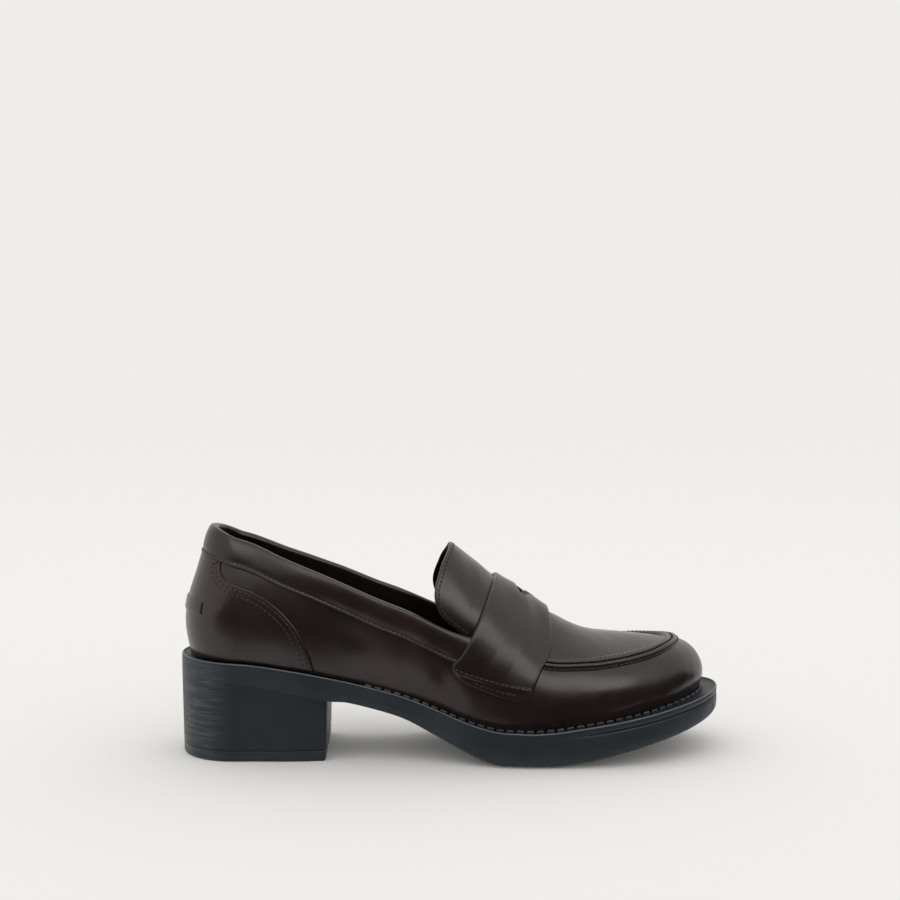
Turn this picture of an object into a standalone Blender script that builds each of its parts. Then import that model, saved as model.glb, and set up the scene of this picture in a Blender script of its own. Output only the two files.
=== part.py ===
"""A right loafer pump on a block heel, built on its last: upper, overlays, tongue, strap, insole, welt, sole and heel.

Units are metres. +X points to the toe, +Z up, and the outer (lateral) side of the shoe is at -Y. The origin is on the
floor under the middle of the heel. A station is a share from 0, the middle of the heel's back, to 1, the tip of the
toe, along one side. A height on the last is a share from 0, the feather line, to 1, the collar or the apron's edge,
and from there to 2, the ridge along the middle of the instep.
"""

import math
from collections import namedtuple

import bmesh
import bpy
import numpy as np

# Driving sizes of the sole and heel
SOLE_LENGTH = 0.257
BALL_WIDTH = 0.093
HEEL_WIDTH = 0.058
HEEL_DEPTH = 0.070
HEEL_SEAT_RISE = 0.047
BREAST_RISE = 0.0281
FOREPART_RISE = 0.0160
DECK_SPRING = 0.0132
TOE_SPRING = 0.0172
TOE_SWING = 0.004
HEEL_ROUNDING = 0.027
TOE_ROUNDING = 0.065
WELT_THICKNESS = 0.0034
LIFT_THICKNESS = 0.0050
HEEL_INSET = 0.0005
HEEL_TAPER = 0.0006
HEEL_CENTRE = 0.035

# Driving sizes of the upper and what lies on it
BACK_HEIGHT = 0.0595
TONGUE_RISE = 0.040
UPPER_WALL = 0.0018
OVERLAY_THICKNESS = 0.0011
TAB_THICKNESS = 0.0009
STRAP_THICKNESS = 0.0016
TONGUE_THICKNESS = 0.0020
INSOLE_THICKNESS = 0.0028
BAND_HEIGHT = 0.0120
SEAM_WIDTH = 0.0042
SEAM_HEIGHT = 0.0013
SEAM_DROP = 0.0014
LEDGE = 0.0025
FIT_GAP = 0.0003
STRAP_CLEARANCE = 0.0010
STRAP_LIFT = 0.0006
COUNTER_LIFT = 0.0005
HEIGHT_GAP = 0.012
SEAM_LIFT = 0.0006

# How finely each form is divided
STATIONS = 36
SIDE_ROWS = 8
ARCH_HEIGHTS = (1.0, 1.06, 1.13, 1.22, 1.34, 1.48, 1.62, 1.75, 1.88, 2.0)
STRAP_HEIGHTS = (0.44, 0.50, 0.5625, 0.625, 0.6875, 0.75, 0.8125, 0.875, 0.9375)
SEAM_STEPS = 26
HEEL_STEPS = 13
INSOLE_STEPS = 29
SHARP_ANGLE = math.radians(40)

LATERAL, MEDIAL = -1, 1

Edge = namedtuple("Edge", "along lateral medial")
# The welt's half-width, as a share of the way from the heel's half-width to the ball's
EDGES = (
    Edge(0.000, 0.00, -0.02),
    Edge(0.120, 0.00, -0.02),
    Edge(0.210, 0.05, -0.03),
    Edge(0.310, -0.04, -0.16),
    Edge(0.400, 0.11, -0.10),
    Edge(0.467, 0.34, 0.10),
    Edge(0.530, 0.66, 0.37),
    Edge(0.600, 0.92, 0.66),
    Edge(0.650, 1.00, 0.78),
    Edge(0.720, 1.01, 0.86),
    Edge(1.000, 0.96, 0.84),
)

Rise = namedtuple("Rise", "along deck ground")
# Heights of the welt's top and of the sole's underside. Behind the ball they are shares of the heel's rises over the
# forepart, and in front of it shares of the spring of the deck and of the toe.
REAR_RISES = (
    Rise(0.000, 1.000, 1.380),
    Rise(0.120, 0.945, 1.280),
    Rise(0.210, 0.842, 1.125),
    Rise(0.272, 0.735, 1.000),
    Rise(0.330, 0.625, 0.886),
    Rise(0.405, 0.471, 0.700),
    Rise(0.467, 0.294, 0.425),
    Rise(0.510, 0.161, 0.225),
    Rise(0.550, 0.061, 0.070),
    Rise(0.585, 0.012, 0.000),
    Rise(0.640, 0.000, 0.000),
)
TOE_RISES = (
    Rise(0.640, 0.000, 0.000),
    Rise(0.675, 0.040, 0.000),
    Rise(0.728, 0.180, 0.090),
    Rise(0.794, 0.370, 0.285),
    Rise(0.852, 0.540, 0.470),
    Rise(0.914, 0.735, 0.670),
    Rise(0.949, 0.840, 0.795),
    Rise(0.977, 0.920, 0.905),
    Rise(1.000, 1.000, 1.000),
)

Section = namedtuple("Section", "along foot low low_up mid mid_up lateral medial up")
# The last, section by section. foot, low, mid and lateral or medial are how far in from the welt's edge the feather
# line, the widest line, the shoulder and the top line lie, as shares of half the ball's width. low_up and mid_up are
# shares of the top line's height over the feather line, and up is that height as a share of the back's.
SECTIONS = (
    Section(0.000, 0.108, 0.067, 0.34, 0.187, 0.69, 0.322, 0.322, 1.000),
    Section(0.056, 0.100, 0.062, 0.34, 0.172, 0.69, 0.308, 0.308, 0.966),
    Section(0.113, 0.092, 0.056, 0.34, 0.146, 0.69, 0.290, 0.285, 0.925),
    Section(0.195, 0.080, 0.040, 0.35, 0.084, 0.69, 0.180, 0.170, 0.828),
    Section(0.250, 0.072, 0.024, 0.36, 0.039, 0.69, 0.098, 0.078, 0.783),
    Section(0.315, 0.065, 0.000, 0.37, -0.012, 0.69, 0.006, -0.040, 0.728),
    Section(0.375, 0.065, -0.010, 0.38, -0.024, 0.69, -0.006, -0.062, 0.682),
    Section(0.440, 0.070, -0.012, 0.38, -0.026, 0.69, -0.012, -0.040, 0.659),
    Section(0.490, 0.080, 0.008, 0.38, 0.000, 0.69, 0.026, 0.010, 0.640),
    Section(0.540, 0.094, 0.028, 0.37, 0.034, 0.69, 0.090, 0.070, 0.640),
    Section(0.603, 0.106, 0.044, 0.36, 0.082, 0.68, 0.200, 0.170, 0.590),
    Section(0.689, 0.118, 0.062, 0.36, 0.125, 0.69, 0.290, 0.270, 0.487),
    Section(0.759, 0.130, 0.078, 0.36, 0.150, 0.72, 0.300, 0.290, 0.451),
    Section(0.874, 0.152, 0.106, 0.37, 0.200, 0.77, 0.355, 0.350, 0.424),
    Section(0.930, 0.170, 0.128, 0.38, 0.235, 0.80, 0.420, 0.420, 0.413),
    Section(1.000, 0.187, 0.150, 0.38, 0.268, 0.82, 0.500, 0.500, 0.391),
)

Ridge = namedtuple("Ridge", "along dome arch")
# The ridge of the instep over the top line, as a share of the tongue's rise, and how strongly the arch starts. ARRIVE
# is how flat the arch is at the ridge.
RIDGES = (
    Ridge(0.440, 1.090, 0.75),
    Ridge(0.496, 0.975, 0.75),
    Ridge(0.540, 0.840, 0.75),
    Ridge(0.584, 0.690, 0.75),
    Ridge(0.625, 0.595, 0.75),
    Ridge(0.660, 0.510, 0.75),
    Ridge(0.690, 0.430, 0.70),
    Ridge(0.715, 0.345, 0.60),
    Ridge(0.740, 0.272, 0.55),
    Ridge(0.782, 0.185, 0.50),
    Ridge(0.848, 0.092, 0.45),
    Ridge(0.890, 0.030, 0.40),
    Ridge(0.912, 0.000, 0.40),
)
ARRIVE = 1.1

Cut = namedtuple("Cut", "height rear front")
# The strap's edges: shares of the sole's length at each height on the last
STRAP_CUTS = (
    Cut(0.44, 0.503, 0.619),
    Cut(0.50, 0.497, 0.630),
    Cut(0.60, 0.496, 0.640),
    Cut(0.80, 0.512, 0.653),
    Cut(1.00, 0.527, 0.666),
    Cut(1.25, 0.544, 0.674),
    Cut(1.50, 0.560, 0.677),
    Cut(1.75, 0.572, 0.677),
    Cut(2.00, 0.579, 0.676),
)
# How far the strap's lower end slants, and the height under which it does
STRAP_SLANT, STRAP_SQUARE = 0.35, 0.75
# The slot across the strap's top: its middle and half-width as shares of the strap's width, the height where it ends,
# and how narrow its ends are
SLOT_MIDDLE, SLOT_HALF, SLOT_END, SLOT_CORNER = 0.53, 0.13, 1.82, 0.3

Flap = namedtuple("Flap", "height rear")
# The tongue's free edge, as STRAP_CUTS gives the strap's
TONGUE_EDGE = (
    Flap(0.86, 0.545),
    Flap(1.00, 0.528),
    Flap(1.06, 0.505),
    Flap(1.14, 0.476),
    Flap(1.28, 0.466),
    Flap(1.52, 0.477),
    Flap(1.82, 0.494),
    Flap(2.00, 0.498),
)
# Where the throat's front edge lies, and how the tongue tucks inside the sides
THROAT = 0.622
TUCK_REACH = 0.35
TONGUE_CLEARANCE = 0.0016

Corner = namedtuple("Corner", "up along")
# The counter's front edge: share of the back's height over the welt at the back, and share of the sole's length
COUNTER_EDGE = (
    Corner(0.00, 0.244),
    Corner(0.10, 0.234),
    Corner(0.24, 0.218),
    Corner(0.35, 0.197),
    Corner(0.44, 0.172),
    Corner(0.51, 0.144),
    Corner(0.555, 0.116),
    Corner(0.60, 0.092),
    Corner(0.68, 0.080),
    Corner(0.76, 0.080),
)
# Where the counter starts, and the back tab's heights and reach round the heel
COUNTER_FOOT = 0.02
TAB_LOW, TAB_HIGH, TAB_REACH = 0.345, 0.445, 0.130

# How far in from the welt's edge the sole's side lies, by its share of the sole's thickness
SOLE_PROFILE = (
    (0.0062, 0.00),
    (0.0030, 0.06),
    (0.0011, 0.15),
    (0.0002, 0.32),
    (0.0000, 0.60),
    (0.0001, 0.92),
    (0.0009, 1.00),
)
# The same for the welt's side, by shares of its thickness under its top
WELT_PROFILE = (
    (0.0009, -1.00),
    (0.0002, -0.75),
    (0.0001, -0.30),
    (0.0009, 0.00),
)
# The raised seam's section: across as shares of its half-width, and up as shares of its height
SEAM_PROFILE = (
    (-1.00, 0.0),
    (-0.85, 0.6),
    (-0.40, 1.0),
    (0.40, 1.0),
    (0.85, 0.6),
    (1.00, 0.0),
    (0.00, 0.0),
)

BURGUNDY = (0.030, 0.012, 0.011, 1.0)
INK = (0.012, 0.015, 0.020, 1.0)
LINING = (0.020, 0.017, 0.016, 1.0)


def smooth(table, column, knot="along"):
    """A curve through one column of a table that never swings past its rows."""
    knots = np.array([getattr(row, knot) for row in table])
    values = np.array([getattr(row, column) for row in table])
    steps = np.diff(knots)
    rates = np.diff(values) / steps
    slopes = np.concatenate(([rates[0]], np.zeros(len(rates) - 1), [rates[-1]]))
    for i in range(1, len(rates)):
        if rates[i - 1] * rates[i] > 0:
            before, after = 2 * steps[i] + steps[i - 1], steps[i] + 2 * steps[i - 1]
            slopes[i] = (before + after) / (before / rates[i - 1] + after / rates[i])

    def at(place):
        place = np.clip(place, knots[0], knots[-1])
        i = np.clip(np.searchsorted(knots, place, side="right") - 1, 0, len(steps) - 1)
        t = (place - knots[i]) / steps[i]
        value = values[i] * (1 + 2 * t) * (1 - t) ** 2 + values[i + 1] * t * t * (3 - 2 * t)
        return value + steps[i] * (slopes[i] * t * (1 - t) ** 2 + slopes[i + 1] * t * t * (t - 1))

    return at


EDGE = {name: smooth(EDGES, name) for name in ("lateral", "medial")}
SECTION = {name: smooth(SECTIONS, name) for name in Section._fields[1:]}
DOME, ARCH = smooth(RIDGES, "dome"), smooth(RIDGES, "arch")
REAR_DECK, REAR_GROUND = smooth(REAR_RISES, "deck"), smooth(REAR_RISES, "ground")
TOE_DECK, TOE_GROUND = smooth(TOE_RISES, "deck"), smooth(TOE_RISES, "ground")


def by_side(side, curves, along):
    """The lateral or the medial curve's value, by side."""
    return np.where(side == LATERAL, curves["lateral"](along), curves["medial"](along))


def deck(x):
    """Height of the welt's top."""
    along = x / SOLE_LENGTH
    rear = (HEEL_SEAT_RISE - FOREPART_RISE) * REAR_DECK(along)
    return FOREPART_RISE + rear + DECK_SPRING * TOE_DECK(along)


def ground(x):
    """Height of the sole's underside, which is flat on the floor at the ball."""
    along = x / SOLE_LENGTH
    return BREAST_RISE * REAR_GROUND(along) + TOE_SPRING * TOE_GROUND(along)


def rounded(depth, reach):
    """The share of full width at this depth in from a round end."""
    share = np.clip(1 - depth / reach, 0, 1)
    return np.sqrt(1 - share * share)


def centre_line(x):
    """The last's middle, which swings to the medial side in front of the ball."""
    share = np.clip((x / SOLE_LENGTH - 0.55) / 0.45, 0, 1)
    return TOE_SWING * share * share


def edge_point(side, station):
    """A point of the welt's outer edge, from above."""
    x = SOLE_LENGTH * (1 - np.cos(math.pi * station)) / 2
    half = (HEEL_WIDTH + (BALL_WIDTH - HEEL_WIDTH) * by_side(side, EDGE, x / SOLE_LENGTH)) / 2
    half = half * rounded(x, HEEL_ROUNDING) * rounded(SOLE_LENGTH - x, TOE_ROUNDING)
    return np.stack((x, centre_line(x) + side * half), axis=-1)


def inset_point(side, station, inset):
    """A point this far in from the welt's edge, from above."""
    step = 1e-4
    along = edge_point(side, np.clip(station + step, 0, 1)) - edge_point(side, np.clip(station - step, 0, 1))
    along = along / np.linalg.norm(along, axis=-1, keepdims=True)
    out = np.stack((-side * along[..., 1], side * along[..., 0]), axis=-1)
    return edge_point(side, station) - out * np.asarray(inset)[..., None]


def last_lines(side, station):
    """The feather line, the widest line, the shoulder and the top line of the last."""
    along = (1 - np.cos(math.pi * station)) / 2
    top_in = by_side(side, SECTION, along)
    spread = top_in - SECTION["lateral"](along)
    insets = (
        SECTION["foot"](along),
        SECTION["low"](along) + 0.35 * spread,
        SECTION["mid"](along) + 0.75 * spread,
        top_in,
    )
    shares = (0 * along, SECTION["low_up"](along), SECTION["mid_up"](along), 1 + 0 * along)
    plans = [inset_point(side, station, inset * BALL_WIDTH / 2) for inset in insets]
    foot = deck(plans[0][..., 0]) + FIT_GAP
    tall = BACK_HEIGHT * SECTION["up"](along)
    return [
        np.concatenate((plan, (foot + share * tall)[..., None]), axis=-1)
        for plan, share in zip(plans, shares)
    ]


def side_surface(side, station, height):
    """The last's side, with its top line and its direction of climb there."""
    lines = last_lines(side, station)
    spans = [b - a for a, b in zip(lines, lines[1:])]
    lengths = [np.linalg.norm(span, axis=-1, keepdims=True) for span in spans]
    rates = [span / length for span, length in zip(spans, lengths)]
    inner = [
        (rates[i] * lengths[i + 1] + rates[i + 1] * lengths[i]) / (lengths[i] + lengths[i + 1])
        for i in range(2)
    ]
    climbs = [2 * rates[0] - inner[0], inner[0], inner[1], 2 * rates[2] - inner[1]]
    travel = np.clip(height, 0, 1)[..., None] * sum(lengths)
    point = lines[0]
    start = 0
    for i in range(3):
        t = (travel - start) / lengths[i]
        curve = lines[i] * (1 + 2 * t) * (1 - t) ** 2 + lines[i + 1] * t * t * (3 - 2 * t)
        curve = curve + lengths[i] * (climbs[i] * t * (1 - t) ** 2 + climbs[i + 1] * t * t * (t - 1))
        point = np.where(t > 0, curve, point)
        start = start + lengths[i]
    return point, lines[3], climbs[3]


def arch_surface(side, station, share):
    """The last between its top line, share 0, and the ridge of the instep, share 1."""
    _, top, climb = side_surface(side, station, np.ones_like(station))
    other = last_lines(-side, station)[3]
    ridge = (top + other) / 2
    along = ridge[..., 0] / SOLE_LENGTH
    ridge[..., 2] += TONGUE_RISE * DOME(along)
    chord = ridge - top
    length = np.linalg.norm(chord, axis=-1, keepdims=True)
    level = chord * (1, 1, 0)
    level = level / np.maximum(np.linalg.norm(level, axis=-1, keepdims=True), 1e-9)
    steep = np.clip(climb[..., 2:3] / np.linalg.norm(climb, axis=-1, keepdims=True), -1, 1)
    leave = (level * np.sqrt(1 - steep * steep) + steep * (0, 0, 1)) * length * ARCH(along)[..., None]
    arrive = level * length * ARRIVE
    t = share[..., None]
    curve = top * (1 + 2 * t) * (1 - t) ** 2 + ridge * t * t * (3 - 2 * t)
    return curve + leave * t * (1 - t) ** 2 + arrive * t * t * (t - 1)


def last_surface(side, station, height):
    """Points of the last's surface, by their sides, stations and heights."""
    side, station, height = np.broadcast_arrays(side, np.asarray(station, float), np.asarray(height, float))
    below = side_surface(side, station, height)[0]
    if height.max() <= 1:
        return below
    above = arch_surface(side, station, np.clip(height - 1, 0, 1))
    return np.where(height[..., None] <= 1, below, above)


def over_last(side, station, height, lift):
    """Points this far outside the last's surface."""
    side, station, height = np.broadcast_arrays(side, np.asarray(station, float), np.asarray(height, float))
    step, climb = 1e-3, 1e-2
    ahead = last_surface(side, np.clip(station + step, 0, 1), height)
    behind = last_surface(side, np.clip(station - step, 0, 1), height)
    higher = last_surface(side, station, np.clip(height + climb, 0, 2))
    lower = last_surface(side, station, np.clip(height - climb, 0, 2))
    out = -side[..., None] * np.cross(ahead - behind, higher - lower)
    out = out / np.maximum(np.linalg.norm(out, axis=-1, keepdims=True), 1e-12)
    return last_surface(side, station, height) + out * np.broadcast_to(lift, side.shape)[..., None]


def station_at(side, x, height):
    """The station where the last's surface passes x at this height."""
    stations = np.linspace(0, 1, 241)
    return float(np.interp(x, last_surface(side, stations, height)[:, 0], stations))


def height_at(side, station, z):
    """The height where the last's side passes z at this station."""
    heights = np.linspace(0, 1, 101)
    return float(np.interp(z, last_surface(side, station, heights)[:, 2], heights))


def place_on_side(side, x, z):
    """The station and height where the last's side passes x and z."""
    height = 0.5
    for _ in range(6):
        station = station_at(side, x, height)
        height = height_at(side, station, z)
    return station, height


def new_object(name, fill, material):
    """A named object whose mesh is filled by a function, in the shoe's collection."""
    mesh = bpy.data.meshes.new(name)
    form = bmesh.new()
    fill(form)
    bmesh.ops.remove_doubles(form, verts=form.verts, dist=1e-6)
    form.to_mesh(mesh)
    form.free()
    mesh.shade_smooth()
    mesh.set_sharp_from_angle(angle=SHARP_ANGLE)
    mesh.materials.append(material)
    part = bpy.data.objects.new(name, mesh)
    part.parent = bpy.data.objects["shoe"]
    bpy.data.collections["loafer_pump"].objects.link(part)
    return part


def loft(form, rows, around=False, stacked=False, left_out=()):
    """Quads between rows of points. around closes each row, and stacked joins the last row to the first."""
    rings = [[form.verts.new(point) for point in row] for row in rows]
    pairs = list(zip(rings, rings[1:]))
    if stacked:
        pairs.append((rings[-1], rings[0]))
    for span, (lower, upper) in enumerate(pairs):
        for i in range(len(lower) if around else len(lower) - 1):
            j = (i + 1) % len(lower)
            if (span, i) not in left_out:
                form.faces.new((lower[i], lower[j], upper[j], upper[i]))
    return rings


def ribbed_cap(form, ring, facing_up):
    """Closes a ring that starts at the heel's back, with a rib from each lateral point to its medial twin."""
    count = len(ring)
    for i in range(count // 2):
        quad = [ring[i], ring[i + 1], ring[count - 1 - i], ring[(count - i) % count]]
        corners = list(dict.fromkeys(quad))
        form.faces.new(corners if facing_up else corners[::-1])


def walled(part, thickness, outwards=True):
    """Gives an open surface its wall, grown outwards or inwards."""
    wall = part.modifiers.new("wall", "SOLIDIFY")
    wall.thickness = thickness
    wall.offset = 1 if outwards else -1
    wall.use_even_offset = True
    return part


def leather(name, colour, roughness):
    """A plain Principled material with this colour."""
    material = bpy.data.materials.new(name)
    material.use_nodes = True
    shader = material.node_tree.nodes["Principled BSDF"]
    shader.inputs["Base Color"].default_value = colour
    shader.inputs["Roughness"].default_value = roughness
    shader.inputs["Metallic"].default_value = 0.0
    material.diffuse_color = colour
    return material


def ring_of(stations):
    """Sides and stations of a ring from the heel's back along the lateral side to the toe and back."""
    side = [LATERAL] * len(stations) + [MEDIAL] * (len(stations) - 2)
    return np.array(side), np.concatenate((stations, stations[-2:0:-1]))


def across(heights):
    """Sides and heights of a row from the lateral side over the ridge to the medial side."""
    side = [LATERAL] * len(heights) + [MEDIAL] * (len(heights) - 1)
    return np.array(side)[:, None], np.concatenate((heights, heights[-2::-1]))[:, None]


def throat_station():
    """The first station in front of the throat."""
    stations = np.linspace(0, 1, STATIONS + 1)
    return stations[np.searchsorted(stations, station_at(LATERAL, THROAT * SOLE_LENGTH, 1.0))]


def make_upper(material):
    """The hollow upper: its sides, and the apron in front of the throat."""
    stations = np.linspace(0, 1, STATIONS + 1)
    heights = np.linspace(0, 1, SIDE_ROWS + 1)[:, None]

    def fill(form):
        loft(form, last_surface(*ring_of(stations), heights), around=True)
        side, height = across(ARCH_HEIGHTS)
        loft(form, last_surface(side, stations[stations >= throat_station()], height))

    return walled(new_object("upper", fill, material), UPPER_WALL, outwards=False)


def make_tongue(material):
    """The tongue: it fills the throat, tucks inside the sides and stands up behind the strap."""
    rear = smooth(TONGUE_EDGE, "rear", "height")
    side, height = across((0.87, 0.935) + ARCH_HEIGHTS)
    backs = [station_at(s, float(rear(h)) * SOLE_LENGTH, h) for s, h in zip(side[:, 0], height[:, 0])]
    front = throat_station() - TONGUE_CLEARANCE
    station = np.array([np.linspace(back, front, 8) for back in backs])
    tuck = (UPPER_WALL + 2 * FIT_GAP) * (1 - np.clip((height - 1) / TUCK_REACH, 0, 1)) ** 2

    def fill(form):
        loft(form, over_last(side, station, height, -tuck))

    return walled(new_object("tongue", fill, material), TONGUE_THICKNESS, outwards=False)


def strap_stations(side, height, cut):
    """The stations of one of the strap's edges."""
    edge = smooth(STRAP_CUTS, cut, "height")
    return [station_at(s, float(edge(h)) * SOLE_LENGTH, h) for s, h in zip(side[:, 0], height[:, 0])]


def make_strap(material):
    """The saddle strap over the vamp, with a slot across its top."""
    side, height = across(STRAP_HEIGHTS + ARCH_HEIGHTS)
    rear, front = strap_stations(side, height, "rear"), strap_stations(side, height, "front")
    narrowing = np.clip(np.abs(height - SLOT_END) / (2 - SLOT_END), SLOT_CORNER, 1)
    half = SLOT_HALF * narrowing[:, 0]
    before, behind = SLOT_MIDDLE - half, SLOT_MIDDLE + half
    shares = [0 * half, before / 3, before * 2 / 3, before, behind]
    shares += [behind + (1 - behind) * step for step in (1 / 3, 2 / 3, 1)]
    shares = np.stack(shares, axis=-1)
    station = np.array(rear)[:, None] * (1 - shares) + np.array(front)[:, None] * shares
    height = height - STRAP_SLANT * np.clip(STRAP_SQUARE - height, 0, 1) * (shares - 0.5)
    ridge = len(side) // 2
    spans = sum(1 for one in ARCH_HEIGHTS if one > SLOT_END)
    slot = [(span, 3) for span in range(ridge - spans, ridge + spans)]

    def fill(form):
        loft(form, over_last(side, station, height, STRAP_LIFT), left_out=slot)

    return walled(new_object("strap", fill, material), STRAP_THICKNESS)


def band_bottom(side, station):
    """The heights of the collar band's lower edge."""
    heights = np.linspace(0.5, 1, 41)
    rises = last_surface(side, station, heights[:, None])[..., 2]
    return np.array([np.interp(rise[-1] - BAND_HEIGHT, rise, heights) for rise in rises.T])


def round_the_back(count):
    """Sides and shares of a row from the medial front edge round the heel's back to the lateral one."""
    shares = np.linspace(0, 1, count)
    side = [MEDIAL] * (count - 1) + [LATERAL] * count
    return np.array(side), np.concatenate((shares[:0:-1], shares))


def make_counter(material):
    """The counter round the heel, from the welt up to the collar band."""
    edge = smooth(COUNTER_EDGE, "along", "up")
    side, turn = round_the_back(14)
    rows = []
    for up in np.linspace(COUNTER_FOOT, COUNTER_EDGE[-1].up, 14):
        x = float(edge(up)) * SOLE_LENGTH
        z = HEEL_SEAT_RISE + FIT_GAP + BACK_HEIGHT * up
        ends = {s: place_on_side(s, x, max(z, deck(x) + FIT_GAP)) for s in (LATERAL, MEDIAL)}
        end = np.array([ends[s] for s in side])
        station = end[:, 0] * turn
        ceiling = band_bottom(side, station) - HEIGHT_GAP
        back = up / COUNTER_EDGE[-1].up
        front = np.minimum(1, end[:, 1] / ceiling[0]) if up < COUNTER_EDGE[-1].up else 1
        share = back + (front - back) * turn ** 2
        rows.append(over_last(side, station, share * ceiling, COUNTER_LIFT))

    return walled(new_object("counter", lambda form: loft(form, rows), material), OVERLAY_THICKNESS)


def make_band(material):
    """The collar band, round the rim from strap to strap."""
    side, turn = round_the_back(24)
    edge = smooth(STRAP_CUTS, "rear", "height")

    def end_of(one_side, rise):
        """The station where the band stops behind the strap."""
        height = 0.8
        for _ in range(4):
            station = station_at(one_side, float(edge(height)) * SOLE_LENGTH - STRAP_CLEARANCE, height)
            low = band_bottom(np.array([one_side]), np.array([station]))[0]
            height = low + (1 - low) * rise
        return station

    rows = []
    for rise in np.linspace(0, 1, 4):
        ends = {s: end_of(s, rise) for s in (LATERAL, MEDIAL)}
        station = np.array([ends[s] for s in side]) * turn
        low = band_bottom(side, station)
        rows.append(over_last(side, station, low + (1 - low) * rise, FIT_GAP))

    return walled(new_object("collar_band", lambda form: loft(form, rows), material), OVERLAY_THICKNESS)


def make_tab(material):
    """The small strip over the counter at the back seam."""
    side, turn = round_the_back(8)
    lift = COUNTER_LIFT + OVERLAY_THICKNESS + FIT_GAP
    rows = [over_last(side, TAB_REACH * turn, height, lift) for height in np.linspace(TAB_LOW, TAB_HIGH, 3)]
    return walled(new_object("back_tab", lambda form: loft(form, rows), material), TAB_THICKNESS)


def make_seam(material):
    """The raised seam round the apron, from the strap round the toe and back."""
    first = station_at(LATERAL, STRAP_CUTS[4].front * SOLE_LENGTH + SEAM_WIDTH / 2, 1.0)
    stations = np.linspace(first, 1, SEAM_STEPS)
    side = np.array([LATERAL] * SEAM_STEPS + [MEDIAL] * (SEAM_STEPS - 1))
    station = np.concatenate((stations, stations[-2::-1]))
    step = 0.02
    line = last_surface(side, station, 1.0)
    below = last_surface(side, station, 1 - step) - line
    inward = last_surface(side, station, 1 + step) - line
    out = over_last(side, station, 1.0, 1.0) - line
    across_line = inward - below
    across_line = across_line / np.linalg.norm(across_line, axis=-1, keepdims=True)
    rows = [
        line + across_line * (SEAM_WIDTH / 2 * reach - SEAM_DROP) + out * (SEAM_LIFT + SEAM_HEIGHT * rise)
        for reach, rise in SEAM_PROFILE
    ]

    def fill(form):
        rings = loft(form, rows, stacked=True)
        form.faces.new([ring[0] for ring in rings])
        form.faces.new([ring[-1] for ring in rings[::-1]])

    return new_object("apron_seam", fill, material)


def make_insole(material):
    """The insole, on the sole's deck inside the upper."""
    side, station = ring_of(np.linspace(0, 1, INSOLE_STEPS))
    along = (1 - np.cos(math.pi * station)) / 2
    inset = SECTION["foot"](along) * BALL_WIDTH / 2 + UPPER_WALL + 2 * FIT_GAP
    plan = inset_point(side, station, inset)
    rows = []
    for lift in (FIT_GAP, FIT_GAP + INSOLE_THICKNESS):
        rows.append(np.concatenate((plan, (deck(plan[:, 0]) + lift)[:, None]), axis=-1))

    def fill(form):
        rings = loft(form, rows, around=True)
        ribbed_cap(form, rings[0], facing_up=False)
        ribbed_cap(form, rings[-1], facing_up=True)

    return new_object("insole", fill, material)


def sole_ring(side, station, inset, share):
    """A ring of the sole this far in from the welt's edge, at a share of the way from the ground to the welt."""
    plan = inset_point(side, station, inset)
    low, high = ground(plan[:, 0]), deck(plan[:, 0]) - WELT_THICKNESS - FIT_GAP
    return np.concatenate((plan, (low + (high - low) * share)[:, None]), axis=-1)


def make_outsole(material):
    """The sole: its side with a groove under the welt, and a raised deck inside the welt."""
    side, station = ring_of(np.linspace(0, 1, STATIONS + 1))
    foot = SECTION["foot"]((1 - np.cos(math.pi * station)) / 2) * BALL_WIDTH / 2 + UPPER_WALL + LEDGE
    rows = [sole_ring(side, station, inset, share) for inset, share in SOLE_PROFILE]
    rows.append(sole_ring(side, station, foot + FIT_GAP, 1))
    top = rows[-1].copy()
    top[:, 2] += WELT_THICKNESS + FIT_GAP
    rows.append(top)

    def fill(form):
        rings = loft(form, rows, around=True)
        ribbed_cap(form, rings[0], facing_up=False)
        ribbed_cap(form, rings[-1], facing_up=True)

    return new_object("outsole", fill, material)


def make_welt(material):
    """The welt, all round on the sole's edge with the upper standing on it."""
    side, station = ring_of(np.linspace(0, 1, STATIONS + 1))
    foot = SECTION["foot"]((1 - np.cos(math.pi * station)) / 2) * BALL_WIDTH / 2 + UPPER_WALL + LEDGE
    rows = []
    for inset, share in ((foot, -1),) + WELT_PROFILE + ((foot, 0),):
        plan = inset_point(side, station, inset + 0 * foot)
        rows.append(np.concatenate((plan, (deck(plan[:, 0]) + share * WELT_THICKNESS)[:, None]), axis=-1))

    return new_object("welt", lambda form: loft(form, rows, around=True, stacked=True), material)


def heel_ring(inset):
    """Sides and plan of the heel's outline, from the back round to the breast and back, this far in."""
    last = station_at_edge(HEEL_DEPTH)
    stations = np.linspace(0, last, HEEL_STEPS)
    side = np.array([LATERAL] * HEEL_STEPS + [MEDIAL] * (HEEL_STEPS - 1))
    station = np.concatenate((stations, stations[:0:-1]))
    return inset_point(side, station, inset)


def station_at_edge(x):
    """The station where the welt's edge passes x."""
    return math.acos(1 - 2 * x / SOLE_LENGTH) / math.pi


def heel_part(name, low, high, insets, material):
    """A piece of the heel between two heights, which may follow the sole."""
    plans = [heel_ring(inset) for inset in insets]
    rows = [np.column_stack((plan, height(plan[:, 0]))) for plan, height in zip(plans, (low, high))]

    def fill(form):
        rings = loft(form, rows, around=True)
        half = len(rings[0]) // 2
        for ring, up in ((rings[0], False), (rings[-1], True)):
            for i in range(half):
                quad = list(dict.fromkeys((ring[i], ring[i + 1], ring[-1 - i], ring[-i])))
                form.faces.new(quad if up else quad[::-1])

    return new_object(name, fill, material)


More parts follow.
